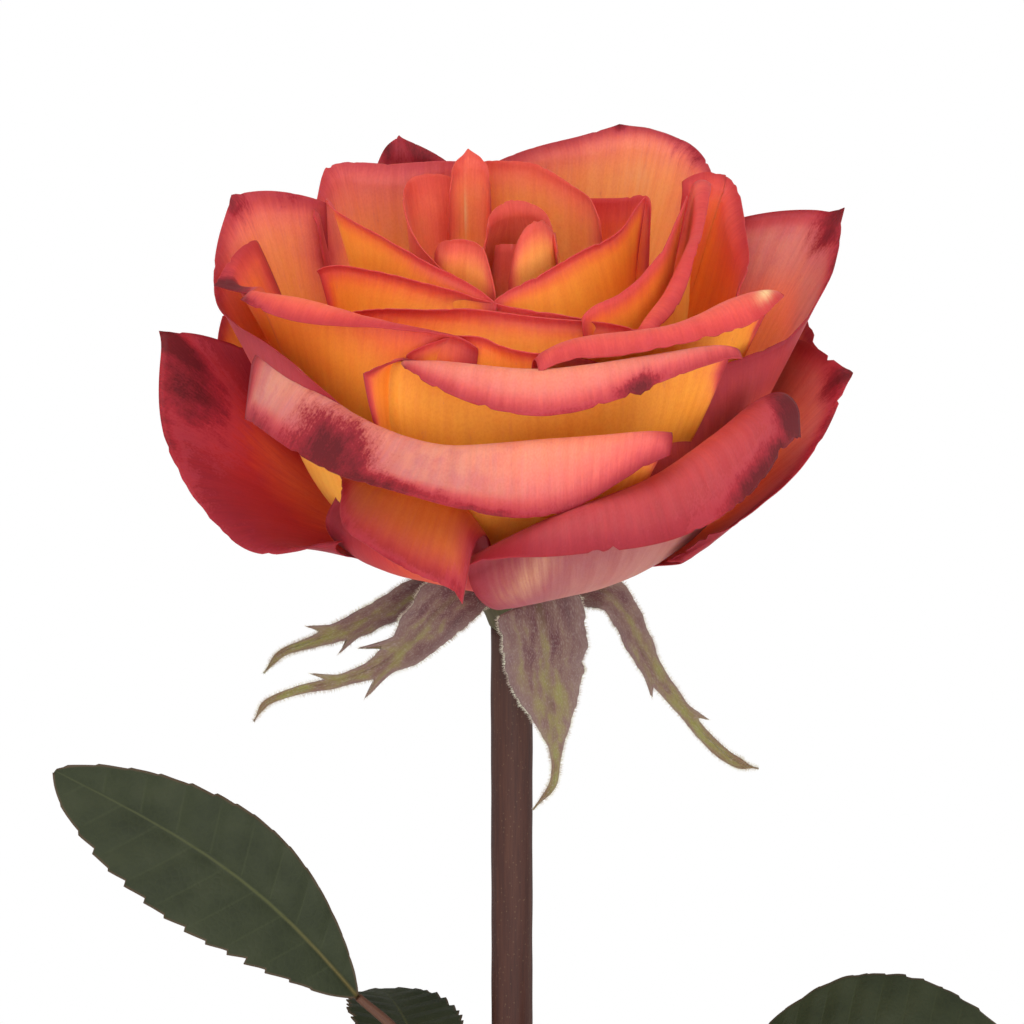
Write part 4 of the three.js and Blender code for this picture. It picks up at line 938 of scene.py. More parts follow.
# %% Sepal finishes
def sepal_finish(name, shades, centre, edging, fibre, strength):
    """Skin of one face of a sepal: shades by depth, the keel, the edging, a brown tip and pale down."""
    finish, tree, shader = new_finish(name)
    grain = add(tree, "ShaderNodeAttribute", attribute_name="grain")["Vector"]
    flush = add(tree, "ShaderNodeAttribute", attribute_name="flush")["Vector"]
    parts = add(tree, "ShaderNodeSeparateXYZ", [("Vector", flush)])
    fibres = add(tree, "ShaderNodeMapping", [("Vector", grain), ("Scale", [1 / 0.13, 1 / 0.4, 0.4])])
    fibres = add(tree, "ShaderNodeTexNoise", [
        ("Vector", fibres[0]), ("Scale", 1.0), ("Detail", 3.0)])["Fac"]
    patch = add(tree, "ShaderNodeMapping", [("Vector", grain), ("Scale", [1 / 1.6, 1 / 4.5, 0.1])])
    patch = add(tree, "ShaderNodeTexNoise", [("Vector", patch[0]), ("Scale", 1.0), ("Detail", 3.0)])["Fac"]
    place = add(tree, "ShaderNodeMath", [(0, patch), (1, 1.3), (2, 0.05)], operation="MULTIPLY_ADD")[0]
    place = add(tree, "ShaderNodeMath", [(0, parts["X"]), (1, -0.75), (2, place)],
                operation="MULTIPLY_ADD")[0]
    rim = add(tree, "ShaderNodeMath", [(0, parts["Y"]), (1, 3.0)], operation="POWER")[0]
    place = add(tree, "ShaderNodeMath", [(0, rim), (1, 0.2), (2, place)], operation="MULTIPLY_ADD",
                use_clamp=True)[0]
    colour = add(tree, "ShaderNodeValToRGB", [("Fac", place)], shades)["Color"]
    rim = add(tree, "ShaderNodeMath", [(0, rim), (1, 0.7)], operation="MULTIPLY")[0]
    colour = add(tree, "ShaderNodeMix", [(0, rim), (6, colour), (7, linear(edging))], data_type="RGBA")[2]
    keel = add(tree, "ShaderNodeMapRange", [
        ("Value", parts["Y"]), ("From Min", 0.03), ("From Max", 0.14),
        ("To Min", 0.25), ("To Max", 0.0)])[0]
    colour = add(tree, "ShaderNodeMix", [(0, keel), (6, colour), (7, linear(centre))], data_type="RGBA")[2]
    dry = add(tree, "ShaderNodeMath", [(0, patch), (1, 0.5), (2, parts["X"])], operation="MULTIPLY_ADD")[0]
    dry = add(tree, "ShaderNodeMapRange", [
        ("Value", dry), ("From Min", 0.95), ("From Max", 1.2), ("To Max", 0.85)])[0]
    colour = add(tree, "ShaderNodeMix", [(0, dry), (6, colour), (7, linear("#6d5238"))],
                 data_type="RGBA")[2]
    down = add(tree, "ShaderNodeMapRange", [
        ("Value", fibres), ("From Min", 0.5), ("From Max", 0.72), ("To Max", strength)])[0]
    colour = add(tree, "ShaderNodeMix", [(0, down), (6, colour), (7, linear(fibre))], data_type="RGBA")[2]
    bump = add(tree, "ShaderNodeBump", [("Height", fibres), ("Strength", 0.5), ("Distance", 0.15 * mm)])
    tree.links.new(colour, shader.inputs["Base Color"])
    tree.links.new(bump[0], shader.inputs["Normal"])
    shader.inputs["Roughness"].default_value = 0.75
    shader.inputs["Sheen Weight"].default_value = 0.35
    shader.inputs["Sheen Roughness"].default_value = 0.5
    shader.inputs["Specular IOR Level"].default_value = 0.25
    shader.inputs["Subsurface Weight"].default_value = 0.15
    shader.inputs["Subsurface Radius"].default_value = (0.6, 1.0, 0.3)
    shader.inputs["Subsurface Scale"].default_value = 0.5 * mm
    return finish


sepal_down = sepal_finish(
    "sepal_downy_face",
    [(0, "#7c7a3c"), (0.25, "#7a6c42"), (0.45, "#70544a"), (0.7, "#5a3436"), (1, "#4a282c")],
    "#6b6238", "#7d6660", "#a0928a", 0.4)
sepal_bare = sepal_finish(
    "sepal_bare_face", [(0, "#4b5224"), (0.5, "#525a2a"), (1, "#5e5a36")], "#3c4420", "#6a4436",
    "#75765a", 0.2)


def hairs(name, roots, seed, length, width, finish):
    """Tapering three-sided hairs in one mesh; roots are pairs of a place and a direction."""
    chance = random.Random(seed)
    bm = bmesh.new()
    for place, way in roots:
        lean = Vector([chance.uniform(-0.5, 0.5) for _ in range(3)])
        hair_length = length * chance.uniform(0.55, 1.15)
        turned = Matrix.Translation(place) @ (way + lean).to_track_quat("Z", "Y").to_matrix().to_4x4()
        made = bmesh.ops.create_cone(bm, segments=3, radius1=width / 2, radius2=0, depth=hair_length,
                                     matrix=to_frame @ turned @ Matrix.Translation((0, 0, hair_length / 2)))
        bmesh.ops.delete(bm, geom=[f for f in {f for v in made["verts"] for f in v.link_faces}
                                   if len(f.verts) > 3], context="FACES_ONLY")
    for vert in bm.verts:
        vert.co.z = max(vert.co.z, 0)
    piece = new_piece(name, bm)
    piece.data.materials.append(finish)
    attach(piece, "root")
    return piece


# %% Make the sepals and their fringe
fringe_length = 0.7
fringe_width = 0.06
hairs_per_step = 7

hair_finish, hair_tree, hair_shader = new_finish("sepal_hair")
hair_place = add(hair_tree, "ShaderNodeTexCoord")["Object"]
hair_noise = add(hair_tree, "ShaderNodeTexNoise", [("Vector", hair_place), ("Scale", 400.0)])["Fac"]
hair_colour = add(hair_tree, "ShaderNodeValToRGB", [("Fac", hair_noise)],
                  [(0.35, "#b9a99a"), (0.65, "#d8d6c0")])["Color"]
hair_tree.links.new(hair_colour, hair_shader.inputs["Base Color"])
hair_shader.inputs["Roughness"].default_value = 0.6

for seed, sepal in enumerate(sepals):
    rows, marks = sepal_rows_of(sepal, seed)
    weights = [[min(1, 0.15 + place.z / 1.2) for place in row] for row in marks["grain"]]
    piece = blade(sepal["name"] + "_fine", (rows, marks, weights))
    thicken(piece, sepal_thickness)
    dress(piece, sepal["name"], [sepal_down, sepal_bare])
    chance = random.Random(100 + seed)
    roots = []
    for j in range(4, sepal_rows):
        for near, far in ((0, 1), (-1, -2)):
            start, end = rows[j][near], rows[j + 1][near]
            way = (rows[j][near] - rows[j][far]).normalized()
            roots += [(mix(start, end, chance.random()), way) for _ in range(hairs_per_step)]
    fringe = hairs(sepal["name"] + "_fringe", roots, seed, fringe_length, fringe_width, hair_finish)
print("sepals:", len(sepals))

# %% [markdown]
# ## Leaves
# A rose leaf is five toothed leaflets on one stalk. The table gives each stalk's way out of the stem and
# each leaflet's base, tip, width and the way its upper face looks. bow is how far the midrib swings to one
# side, skew how much wider one half of the blade is, and even names a half whose teeth are shallow. The
# teeth lean forwards, the blade is quilted between its side veins, and it folds a little along the midrib.

# %% The leaves
leaves = [
    dict(name="leaf_left", side=-1, joint=-128,
         stalk=[(-8, 2, -114), (-12.5, 3.6, -99.5), (-19.5, 5, -84.6), (-25.6, 5, -78.2)],
         leaflets=[
             dict(base=(-25.6, 5, -78.2), tip=(-73.7, 10, -33.8), width=22.5,
                  face=(0.1, 1, 0.35), bow=4.5, skew=-0.1, even=1),
             dict(base=(-13.9, 4, -96.5), tip=(-22.4, -27, -94), width=20, face=(0.2, 0.25, 1)),
             dict(base=(-13.9, 4, -96.5), tip=(-57, 9, -106), width=22, face=(0, 1, 0.3), bow=2),
             dict(base=(-9.9, 2.8, -109), tip=(-43, 2, -131), width=18, face=(0.1, 1, 0.2), bow=1.5),
             dict(base=(-9.9, 2.8, -109), tip=(10, 21, -98), width=18, face=(0, 1, 0.35), bow=1.5),
         ]),
    dict(name="leaf_right", side=1, joint=-168,
         stalk=[(9, 1.5, -154), (17, 4, -134), (27, 6.5, -111), (36.5, 7, -90)],
         leaflets=[
             dict(base=(36.5, 7, -90), tip=(82.6, 2, -86.5), width=19,
                  face=(0, 0.34, 0.94), bow=-1.5, skew=-0.15, even=-1),
             dict(base=(27.4, 6.5, -110), tip=(13, 16, -86), width=19, face=(0, 1, 0.4), bow=-1.5),
             dict(base=(27.4, 6.5, -110), tip=(70, 10, -121), width=24, face=(0, 1, 0.3), bow=-2),
             dict(base=(15.8, 3.6, -137), tip=(12, 15, -116), width=15, face=(0.1, 1, 0.3), bow=-1),
             dict(base=(15.8, 3.6, -137), tip=(48, 6, -155), width=19, face=(0, 1, 0.2), bow=-1.5),
         ]),
    dict(name="leaf_low", side=-1, joint=-236,
         stalk=[(-9, 1.5, -226), (-20, 3, -211), (-33, 3, -198), (-46, 2, -188)],
         leaflets=[
             dict(base=(-46, 2, -188), tip=(-96, -2, -160), width=30, face=(0, 1, 0.2)),
             dict(base=(-34, 3, -197.5), tip=(-40, 10, -152), width=24, face=(0.1, 1, 0.2)),
             dict(base=(-34, 3, -197.5), tip=(-72, 0, -222), width=24, face=(0, 1, 0.1)),
             dict(base=(-18, 2.6, -213.5), tip=(-20, 11, -180), width=19, face=(0.1, 1, 0.2)),
             dict(base=(-18, 2.6, -213.5), tip=(-46, 0, -240), width=20, face=(0, 1, 0.1)),
         ]),
]
leaf_fold = 0.12
leaf_arch = 0.07
leaflet_end_half = 0.45
leaflet_thickness = 0.45
leaflet_teeth = 16
leaflet_columns = 28
leaflet_rows = 110
vein_pairs = 8
vein_sweep = 0.62


def leaflet_shape(share):
    """The share of the full half width that a leaflet has at a share of its length."""
    return math.sin(math.pi * share**1.2) ** 0.65


def leaflet_rows_of(leaflet, seed):
    """The points of a leaflet, and on them: across, along and margin, then vein phase and side."""
    start = point(leaflet["base"])
    way = point(leaflet["tip"]) - start
    length = way.length
    ahead = way.normalized()
    face = point(leaflet["face"])
    up = (face - ahead * face.dot(ahead)).normalized()
    side = ahead.cross(up)
    rows, grain, vein = [], [], []
    for j in range(leaflet_rows + 1):
        share = j / leaflet_rows
        half = max(leaflet_end_half, leaflet["width"] / 2 * leaflet_shape(min(share, 0.9999)))
        bowed = leaflet.get("bow", 0) * math.sin(math.pi * share)
        arch = leaf_arch * length * (math.sin(math.pi * share) - 0.5 * share**3)
        rows.append([])
        grain.append([])
        vein.append([])
        for i in range(leaflet_columns + 1):
            x = 2 * i / leaflet_columns - 1
            hand = 1 if x > 0 else -1
            spacing = noise.noise(Vector((3 * share, hand, seed + 40)))
            tooth, phase = divmod(share * leaflet_teeth + 0.25 * hand + 0.3 * seed + spacing, 1)
            depth = 0.025 if leaflet.get("even") == hand else 0.085
            depth *= min(1, 5 * share, 6 * (1 - share)) * max(0.2, 0.8 + 1.6 * noise.noise(Vector((
                1.7 * tooth, hand, seed))))
            out = half * (1 + hand * leaflet.get("skew", 0))
            out *= 1 - depth * (1 - phase**1.3) * smooth(0.5, 1, abs(x))
            reach = abs(x) * out
            toothed = 0.35 * phase**3 * min(1, 5 * share) * smooth(0.8, 1, abs(x))
            vein_phase = share * vein_pairs * 1.25 - vein_sweep * reach / 8 + 0.25 * hand
            nearest = abs(vein_phase - round(vein_phase)) * length / vein_pairs / 1.25
            quilt = 0.35 * min(1, nearest / 2) * min(1, reach / 2.5) * min(1, 6 * (1 - share))
            keel = -0.35 * math.exp(-(reach / 0.6) ** 2) * (1 - share)
            ripple = 0.7 * noise.noise(Vector((hand * 2, share * 4, seed))) * abs(x) ** 2
            raised = arch + leaf_fold * reach + quilt + keel + ripple
            rows[-1].append(start + ahead * (share * length + toothed)
                            + side * (hand * reach + bowed) + up * raised)
            grain[-1].append(Vector((hand * reach + 60 * seed, share * length, out - reach)))
            vein[-1].append(Vector((vein_phase * 10, reach, share)))
    return rows, {"grain": grain, "vein": vein}


# %% [markdown]
# The leaves are very dark, matt green with a grey bloom on the upper face, and paler beneath. The midrib and
# the side veins are drawn as fine lines from the vein attribute, because they follow the blade, and a net
# of small veins between them is a cell pattern a millimetre wide.

# %% Leaf finishes
def leaf_finish(name, shades, midrib, side_vein, net, net_share):
    """Skin of one face of a leaf, with its midrib, its side veins and the net between them."""
    finish, tree, shader = new_finish(name)
    grain = add(tree, "ShaderNodeAttribute", attribute_name="grain")["Vector"]
    vein = add(tree, "ShaderNodeAttribute", attribute_name="vein")["Vector"]
    parts = add(tree, "ShaderNodeSeparateXYZ", [("Vector", vein)])
    margin = add(tree, "ShaderNodeSeparateXYZ", [("Vector", grain)])["Z"]
    patch = add(tree, "ShaderNodeMapping", [("Vector", grain), ("Scale", [1 / 7, 1 / 9, 0])])
    patch = add(tree, "ShaderNodeTexNoise", [("Vector", patch[0]), ("Scale", 1.0), ("Detail", 4.0)])["Fac"]
    colour = add(tree, "ShaderNodeValToRGB", [("Fac", patch)], shades)["Color"]
    cells = add(tree, "ShaderNodeMapping", [("Vector", grain), ("Scale", [1 / 1.1, 1 / 1.1, 0])])
    cells = add(tree, "ShaderNodeTexVoronoi", [("Vector", cells[0]), ("Scale", 1.0)],
                feature="DISTANCE_TO_EDGE")["Distance"]
    net_line = add(tree, "ShaderNodeMapRange", [
        ("Value", cells), ("From Min", 0.02), ("From Max", 0.14),
        ("To Min", net_share), ("To Max", 0.0)])[0]
    colour = add(tree, "ShaderNodeMix", [(0, net_line), (6, colour), (7, linear(net))],
                 data_type="RGBA")[2]
    tenth = add(tree, "ShaderNodeMath", [(0, parts["X"]), (1, 0.1)], operation="MULTIPLY")[0]
    nearest = add(tree, "ShaderNodeMath", [(0, tenth), (1, 0.5)], operation="PINGPONG")[0]
    line = add(tree, "ShaderNodeMapRange", [
        ("Value", nearest), ("From Min", 0.015), ("From Max", 0.06), ("To Min", 0.3), ("To Max", 0.0)])[0]
    inside = add(tree, "ShaderNodeMapRange", [("Value", margin), ("From Min", 0.5), ("From Max", 3.0)])[0]
    line = add(tree, "ShaderNodeMath", [(0, line), (1, inside)], operation="MULTIPLY")[0]
    colour = add(tree, "ShaderNodeMix", [(0, line), (6, colour), (7, linear(side_vein))],
                 data_type="RGBA")[2]
    width = add(tree, "ShaderNodeMapRange", [
        ("Value", parts["Z"]), ("To Min", 0.6), ("To Max", 0.16)])[0]
    rib = add(tree, "ShaderNodeMapRange", [
        ("Value", parts["Y"]), ("From Min", 0.1), ("From Max", width),
        ("To Min", 0.9), ("To Max", 0.0)])[0]
    rib_colour = add(tree, "ShaderNodeValToRGB", [("Fac", parts["Z"])], midrib)["Color"]
    colour = add(tree, "ShaderNodeMix", [(0, rib), (6, colour), (7, rib_colour)], data_type="RGBA")[2]
    edge = add(tree, "ShaderNodeMapRange", [
        ("Value", margin), ("From Min", 0.1), ("From Max", 0.5), ("To Min", 0.6), ("To Max", 0.0)])[0]
    colour = add(tree, "ShaderNodeMix", [(0, edge), (6, colour), (7, linear("#5d4638"))],
                 data_type="RGBA")[2]
    height = add(tree, "ShaderNodeMath", [(0, line), (1, -1.5), (2, cells)], operation="MULTIPLY_ADD")[0]
    bump = add(tree, "ShaderNodeBump", [("Height", height), ("Strength", 0.5), ("Distance", 0.2 * mm)])
    tree.links.new(colour, shader.inputs["Base Color"])
    tree.links.new(bump[0], shader.inputs["Normal"])
    shader.inputs["Roughness"].default_value = 0.55
    shader.inputs["Specular IOR Level"].default_value = 0.22
    return finish


leaf_upper = leaf_finish(
    "leaf_upper_face", [(0.3, "#1f2511"), (0.5, "#272d18"), (0.7, "#2f341f")],
    [(0, "#64572f"), (0.35, "#464926"), (1, "#343921")], "#363c23", "#2e3418", 0.2)
leaf_lower = leaf_finish(
    "leaf_lower_face", [(0.3, "#49513d"), (0.5, "#545d48"), (0.7, "#5e6751")],
    [(0, "#84724b"), (1, "#757f5c")], "#727b64", "#677059", 0.5)


# %% [markdown]
# ## Round pieces
# The stem, the leafstalks and the prickles are round. A grid that is closed round a centre line makes them
# all, with its seam merged and its ends filled.

# %% Tube helper
def tube(name, centre_at, radius_at, steps, sides, relief_at=None):
    """A round piece along centre_at from share 0 to 1, whose grain is degrees round and mm along."""
    bm = bmesh.new()
    bmesh.ops.create_grid(bm, x_segments=sides, y_segments=steps, size=1)
    layer = bm.verts.layers.float_vector.new("grain")
    centres = [centre_at(j / steps) for j in range(steps + 1)]
    lengths = [0.0]
    for a, b in zip(centres, centres[1:]):
        lengths.append(lengths[-1] + (b - a).length)
    for vert in bm.verts:
        turned = (vert.co.x + 1) * math.pi
        j = round((vert.co.y + 1) / 2 * steps)
        ahead = (centres[min(steps, j + 1)] - centres[max(0, j - 1)]).normalized()
        side = ahead.cross(Vector((0, -1, 0))).normalized()
        front = side.cross(ahead)
        radius = radius_at(j / steps)
        if relief_at:
            radius += relief_at(turned, lengths[j])
        vert.co = to_frame @ (centres[j] + side * radius * math.sin(turned)
                              - front * radius * math.cos(turned))
        vert.co.z = max(vert.co.z, 0)
        vert[layer] = Vector((math.sin(turned), math.cos(turned), lengths[j]))
    bmesh.ops.remove_doubles(bm, verts=bm.verts, dist=1e-3 * mm)
    bmesh.ops.holes_fill(bm, edges=[edge for edge in bm.edges if edge.is_boundary], sides=0)
    bmesh.ops.recalc_face_normals(bm, faces=bm.faces)
    for face in bm.faces:
        face.smooth = len(face.verts) < 5
        face.material_index = 0 if face.smooth else 1
    return new_piece(name, bm)


# %% [markdown]
# The stem is brownish maroon where it has seen the sun, with an olive streak down its front. Fine
# lengthways fibres and small pale dots break the colour, and the cut end shows pale wood.

# %% Stem finishes
def bark(name, shades, streak, streak_side):
    """Bark of a round piece, with a streak down the side that it names."""
    finish, tree, shader = new_finish(name)
    grain = add(tree, "ShaderNodeAttribute", attribute_name="grain")["Vector"]
    fibres = add(tree, "ShaderNodeMapping", [("Vector", grain), ("Scale", [9, 9, 1 / 7])])
    fibres = add(tree, "ShaderNodeTexNoise", [
        ("Vector", fibres[0]), ("Scale", 1.0), ("Detail", 4.0)])["Fac"]
    patch = add(tree, "ShaderNodeMapping", [("Vector", grain), ("Scale", [1.6, 1.6, 1 / 24])])
    patch = add(tree, "ShaderNodeTexNoise", [("Vector", patch[0]), ("Scale", 1.0), ("Detail", 3.0)])["Fac"]
    place = add(tree, "ShaderNodeMath", [(0, fibres), (1, patch)])[0]
    place = add(tree, "ShaderNodeMath", [(0, place), (1, 0.5)], operation="MULTIPLY")[0]
    colour = add(tree, "ShaderNodeValToRGB", [("Fac", place)], shades)["Color"]
    facing = add(tree, "ShaderNodeVectorMath", [(0, grain), (1, streak_side)],
                 operation="DOT_PRODUCT")["Value"]
    facing = add(tree, "ShaderNodeMath", [(0, patch), (1, 0.9), (2, facing)], operation="MULTIPLY_ADD")[0]
    band = add(tree, "ShaderNodeMapRange", [
        ("Value", facing), ("From Min", 1.1), ("From Max", 1.5), ("To Max", 0.8)],
        interpolation_type="SMOOTHSTEP")[0]
    colour = add(tree, "ShaderNodeMix", [(0, band), (6, colour), (7, linear(streak))],
                 data_type="RGBA")[2]
    dots = add(tree, "ShaderNodeMapping", [("Vector", grain), ("Scale", [5, 5, 1.1])])
    dots = add(tree, "ShaderNodeTexVoronoi", [("Vector", dots[0]), ("Scale", 1.0)])["Distance"]
    dots = add(tree, "ShaderNodeMapRange", [
        ("Value", dots), ("From Min", 0.08), ("From Max", 0.2), ("To Min", 0.12), ("To Max", 0.0)])[0]
    colour = add(tree, "ShaderNodeMix", [(0, dots), (6, colour), (7, linear("#b79a72"))],
                 data_type="RGBA")[2]
    bump = add(tree, "ShaderNodeBump", [("Height", fibres), ("Strength", 0.4), ("Distance", 0.15 * mm)])
    tree.links.new(colour, shader.inputs["Base Color"])
    tree.links.new(bump[0], shader.inputs["Normal"])
    shader.inputs["Roughness"].default_value = 0.5
    shader.inputs["Specular IOR Level"].default_value = 0.3
    return finish


stem_bark = bark("stem_bark", [(0.3, "#30140d"), (0.5, "#3f1e14"), (0.7, "#4c2a1c")], "#46360f",
                 (-0.4, 0.9, 0))
stalk_skin = bark("leafstalk_skin", [(0.3, "#412216"), (0.5, "#523121"), (0.7, "#5e412b")], "#504e27",
                  (0.2, 0.9, 0))
hip_skin = bark("hip_skin", [(0.3, "#43351f"), (0.5, "#514827"), (0.7, "#5d5630")], "#56592d",
                (0, 0.9, 0))
cut_wood, wood_tree, wood_shader = new_finish("cut_stem_wood")
wood_place = add(wood_tree, "ShaderNodeTexCoord")["Object"]
wood_noise = add(wood_tree, "ShaderNodeTexNoise", [("Vector", wood_place), ("Scale", 1500.0)])["Fac"]
wood_colour = add(wood_tree, "ShaderNodeValToRGB", [("Fac", wood_noise)],
                  [(0.3, "#a9a070"), (0.7, "#d9d3a8")])["Color"]
wood_tree.links.new(wood_colour, wood_shader.inputs["Base Color"])
wood_shader.inputs["Roughness"].default_value = 0.8

# %% [markdown]
# ## The leaves
# One piece takes all the leaflets of a leaf, one the two stipules, the narrow wings where the stalk clasps
# the stem, and one the stalk.

# %% Make the leaves
stem_top = -11.6
stem_bend = 2.2
stem_bend_top = -90
stalk_radius = 1.5
stalk_tip_radius = 0.7
stipule_length = 16
stipule_width = 2.6
stipule_ear = 1.6


def stem_sway(z):
    """How far the stem bends to the right at a height."""
    share = (stem_bend_top - z) / (stem_length + stem_bend_top)
    return stem_bend * math.sin(math.pi * share) if share > 0 else 0


def stalk_of(leaf):
    """The curve of a leaf's stalk from the stem to its last leaflet."""
    root = (stem_sway(leaf["joint"]) + leaf["side"] * 0.5 * stem_radius, 0, leaf["joint"])
    points = [point(row) for row in (root, *leaf["stalk"])]
    return lambda share: spline(points, share)


def stipules(centre_at, total):
    """The two wings along the foot of the leafstalk, each ending in a small free ear."""
    wings = []
    for hand in (-1, 1):
        rows = []
        for j in range(41):
            share = j / 40
            place = share * stipule_length / total
            centre = centre_at(place)
            ahead = (centre_at(place + 1e-3) - centre_at(place - 1e-3)).normalized()
            side = ahead.cross(Vector((0, -1, 0))).normalized()
            front = side.cross(ahead)
            width = stipule_width + stipule_ear * smooth(0.8, 1, share)
            row = []
            for i in range(9):
                reach = i / 8 * width
                curl = 0.25 * math.sin(share * 9 + hand) * (i / 8) ** 2
                point_ear = 2.2 * smooth(0.8, 1, share) * (i / 8) ** 2
                row.append(centre + side * hand * reach + front * curl + ahead * point_ear)
            rows.append(row if hand > 0 else row[::-1])
        grain = [[Vector((0.3, 0.2, j)) for _ in range(9)] for j in range(41)]
        wings.append((rows, {"grain": grain}, [[1 - 0.08 * i for i in range(9)]] * 41))
    return wings


for number, leaf in enumerate(leaves):
    blades = []
    for k, leaflet in enumerate(leaf["leaflets"]):
        rows, marks = leaflet_rows_of(leaflet, 5 * number + k)
        weights = [[min(1, 0.2 + place.z / 2) for place in row] for row in marks["grain"]]
        blades.append((rows, marks, weights))
    piece = blade(leaf["name"] + "_blades", *blades)
    thicken(piece, leaflet_thickness)
    dress(piece, leaf["name"], [leaf_upper, leaf_lower])
    centre_at = stalk_of(leaf)
    total = sum((centre_at((k + 1) / 20) - centre_at(k / 20)).length for k in range(20))
    wings = blade(leaf["name"] + "_stipules", *stipules(centre_at, total))
    thicken(wings, leaflet_thickness)
    dress(wings, leaf["name"], [stalk_skin, stalk_skin])
    stalk = tube(leaf["name"] + "_stalk", centre_at,
                 lambda share: mix(stalk_radius, stalk_tip_radius, share), 90, 14)
    dress(stalk, leaf["name"], [stalk_skin, stalk_skin])
print("leaves:", len(leaves), "leaflets:", sum(len(leaf["leaflets"]) for leaf in leaves))

# %% [markdown]
# ## Stem, prickles and hip
# The stem is not a ruled rod: it is faintly ribbed and lumpy. The prickles are hooked spines that broaden
# to a long oval foot on the bark.

# %% Make the stem
prickles = [(-150, 40), (-162, 200), (-190, -60), (-205, 100), (-222, 10), (-248, 150), (-262, -35),
            (-281, 75), (-297, 185), (-312, -80)]
prickle_length = 5


def stem_centre(share):
    """The centre of the stem at a share of its length, from the hip down."""
    z = mix(stem_top, -stem_length, share)
    return Vector((stem_sway(z), 0, z))


def stem_relief(turned, along):
    """The ribs and lumps of the bark, added to the radius."""
    ribs = 0.05 * math.sin(5 * turned + along / 40)
    return ribs + 0.09 * noise.noise(Vector((math.sin(turned), math.cos(turned), along / 9)))


stem = tube("stem_bark", stem_centre, lambda share: stem_radius * (1 + stem_widening * share), 220, 40,
            stem_relief)
dress(stem, "stem", [stem_bark, cut_wood])

prickle_mesh = bmesh.new()
grain_layer = prickle_mesh.verts.layers.float_vector.new("grain")
for z, azimuth in prickles:
    share = (stem_top - z) / (stem_top + stem_length)
    made = bmesh.ops.create_grid(prickle_mesh, x_segments=12, y_segments=12, size=1)["verts"]
    outward = polar(azimuth, 1, 0)
    sideways = Vector((0, 0, 1)).cross(outward)
    centre = Vector((stem_sway(z), 0, z))
    foot = stem_radius * (1 + stem_widening * share) - 0.35
    for vert in made:
        turned = (vert.co.x + 1) * math.pi
        rise = (vert.co.y + 1) / 2
        taper = (1 - rise) ** 1.7 + 0.02
        spread = sideways * math.cos(turned) * 0.85 * taper + Vector((0, 0, 1)) * math.sin(turned) * (
            2.6 * taper)
        hook = Vector((0, 0, -1)) * (1.5 * rise**2)
        vert.co = to_frame @ (centre + outward * (foot + prickle_length * rise) + spread + hook)
        vert.co.z = max(vert.co.z, 0)
        vert[grain_layer] = Vector((0.6 * math.cos(turned), 0.2, 40 * rise))
bmesh.ops.remove_doubles(prickle_mesh, verts=prickle_mesh.verts, dist=1e-3 * mm)
bmesh.ops.holes_fill(prickle_mesh, edges=[e for e in prickle_mesh.edges if e.is_boundary], sides=0)
bmesh.ops.recalc_face_normals(prickle_mesh, faces=prickle_mesh.faces)
for face in prickle_mesh.faces:
    face.smooth = True
dress(new_piece("prickles", prickle_mesh), "stem", [stalk_skin])
print("prickles:", len(prickles))

# %% Make the hip
hip_outline = [(0, -11.2), (3.8, -11.2), (4.6, -9), (6.2, -6), (6.8, -3), (6.5, -0.9), (5.8, 0.2),
               (4, 5), (2, 11), (1.1, 13), (0, 14.5)]
hip_points = [Vector((radius, 0, height)) for radius, height in hip_outline]
hip_mesh = bmesh.new()
hip_grain = hip_mesh.verts.layers.float_vector.new("grain")
profile = [hip_mesh.verts.new(hip_points[0])]
profile += [hip_mesh.verts.new(spline(hip_points[1:], k / 48)) for k in range(49)]
edges = [hip_mesh.edges.new(pair) for pair in zip(profile, profile[1:])]
bmesh.ops.spin(hip_mesh, geom=profile + edges, cent=(0, 0, 0), axis=(0, 0, 1), dvec=(0, 0, 0),
               angle=2 * math.pi, steps=48, use_merge=True)
bmesh.ops.remove_doubles(hip_mesh, verts=hip_mesh.verts, dist=0.01)
bmesh.ops.recalc_face_normals(hip_mesh, faces=hip_mesh.faces)
for vert in hip_mesh.verts:
    around = Vector((vert.co.x, vert.co.y, 0))
    around = around.normalized() if around.length > 0.01 else around
    vert[hip_grain] = Vector((around.x, -around.y, vert.co.z))
    vert.co = to_frame @ vert.co
for face in hip_mesh.faces:
    face.smooth = True
hip = new_piece("hip_skin", hip_mesh)
dress(hip, "hip", [hip_skin])
print("hip faces:", len(hip.data.polygons))

# %% [markdown]
# ## Floor and light
# The photograph has a pure white ground, as over a light table, while the flower itself is lit softly from
# above. So the paper and the sky are pure white where the camera sees them, and no shadow shows on the
# paper. For every other ray the paper is grey and the sky a little brighter, which sets the light on the
# flower. A softbox above the bloom gives the petals their form, and a wider one in front lifts the shadows.

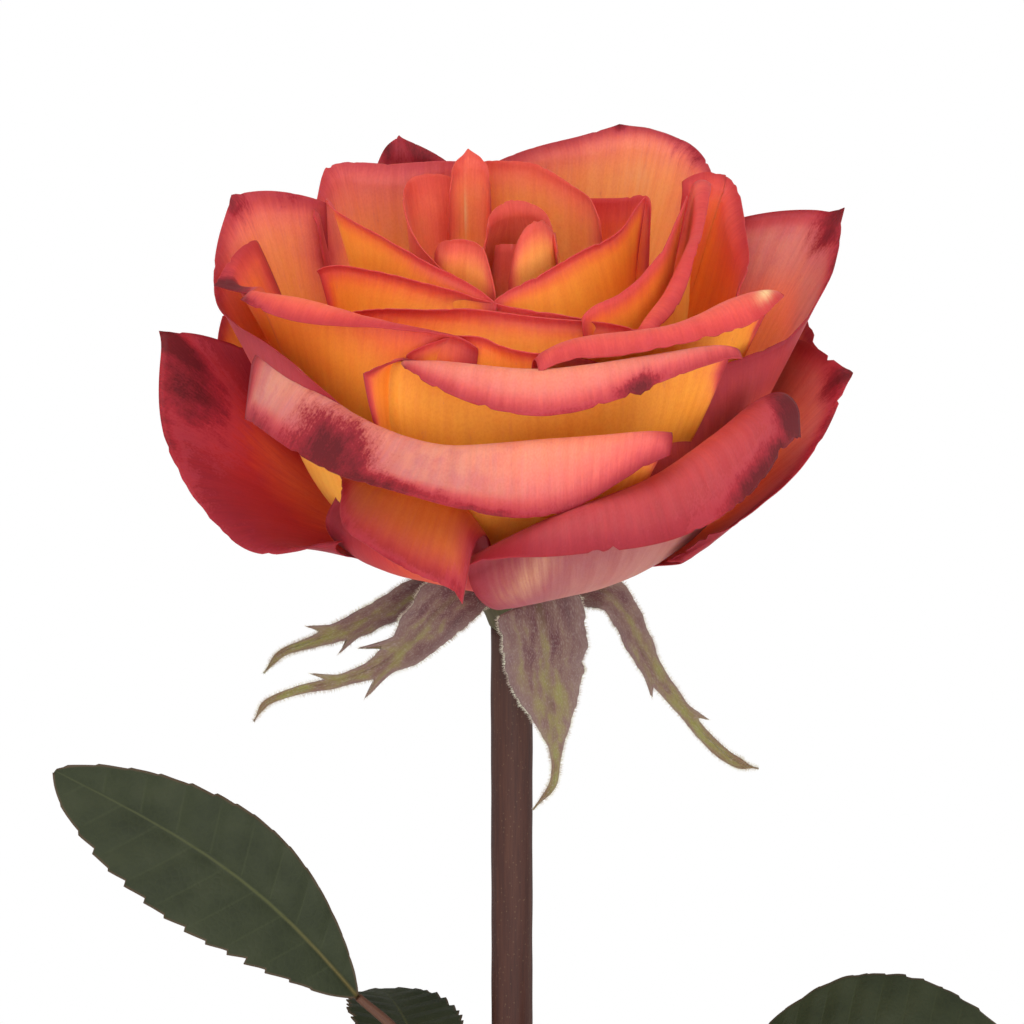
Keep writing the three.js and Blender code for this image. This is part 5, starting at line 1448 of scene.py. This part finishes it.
# %% Floor and light
floor_mesh = bmesh.new()
bmesh.ops.create_grid(floor_mesh, x_segments=1, y_segments=1, size=3)
floor = new_piece("floor", floor_mesh)
floor_finish, floor_tree, floor_shader = new_finish("matt_white_paper")
paper_place = add(floor_tree, "ShaderNodeTexCoord")["Object"]
paper_noise = add(floor_tree, "ShaderNodeTexNoise", [("Vector", paper_place), ("Scale", 300.0)])["Fac"]
paper_colour = add(floor_tree, "ShaderNodeValToRGB", [("Fac", paper_noise)],
                   [(0.3, "#a8a8a8"), (0.7, "#acacac")])["Color"]
floor_tree.links.new(paper_colour, floor_shader.inputs["Base Color"])
floor_shader.inputs["Roughness"].default_value = 0.9
floor_shader.inputs["Specular IOR Level"].default_value = 0.1
camera_ray = add(floor_tree, "ShaderNodeLightPath")["Is Camera Ray"]
paper_glow = add(floor_tree, "ShaderNodeEmission", [("Color", (1, 1, 1, 1)), ("Strength", 1.0)])[0]
paper_seen = add(floor_tree, "ShaderNodeMixShader", [
    (0, camera_ray), (1, floor_shader.outputs[0]), (2, paper_glow)])[0]
floor_tree.links.new(paper_seen, floor_tree.nodes["Material Output"].inputs["Surface"])
floor.data.materials.append(floor_finish)

world = bpy.data.worlds.new("studio")
bpy.context.scene.world = world
world.use_nodes = True
sky = world.node_tree.nodes["Background"]
sky.inputs["Color"].default_value = (1, 1, 1, 1)
sky_strength = 1.2
sky_seen = add(world.node_tree, "ShaderNodeLightPath")["Is Camera Ray"]
sky_seen = add(world.node_tree, "ShaderNodeMath", [(0, sky_seen), (1, 1 - sky_strength), (2, sky_strength)],
               operation="MULTIPLY_ADD")[0]
world.node_tree.links.new(sky_seen, sky.inputs["Strength"])


def softbox(name, way, distance, size, power):
    """A square area light at a direction of the flower's frame, aimed at the bloom."""
    lamp = bpy.data.lights.new(name, "AREA")
    lamp.shape = "SQUARE"
    lamp.size = size
    lamp.energy = power
    light = bpy.data.objects.new(name, lamp)
    bpy.context.scene.collection.objects.link(light)
    aim = to_frame.to_3x3() @ Vector(way).normalized()
    aim = aim.normalized()
    light.location = to_frame @ Vector((0, 0, 20)) + aim * distance
    light.rotation_euler = aim.to_track_quat("Z", "Y").to_euler()


softbox("key_softbox", (-0.1, -0.5, 0.87), 1.1, 0.6, 2.8)
softbox("fill_softbox", (0.2, -0.97, -0.1), 1.4, 0.9, 5)
bpy.context.scene.view_settings.view_transform = "Standard"
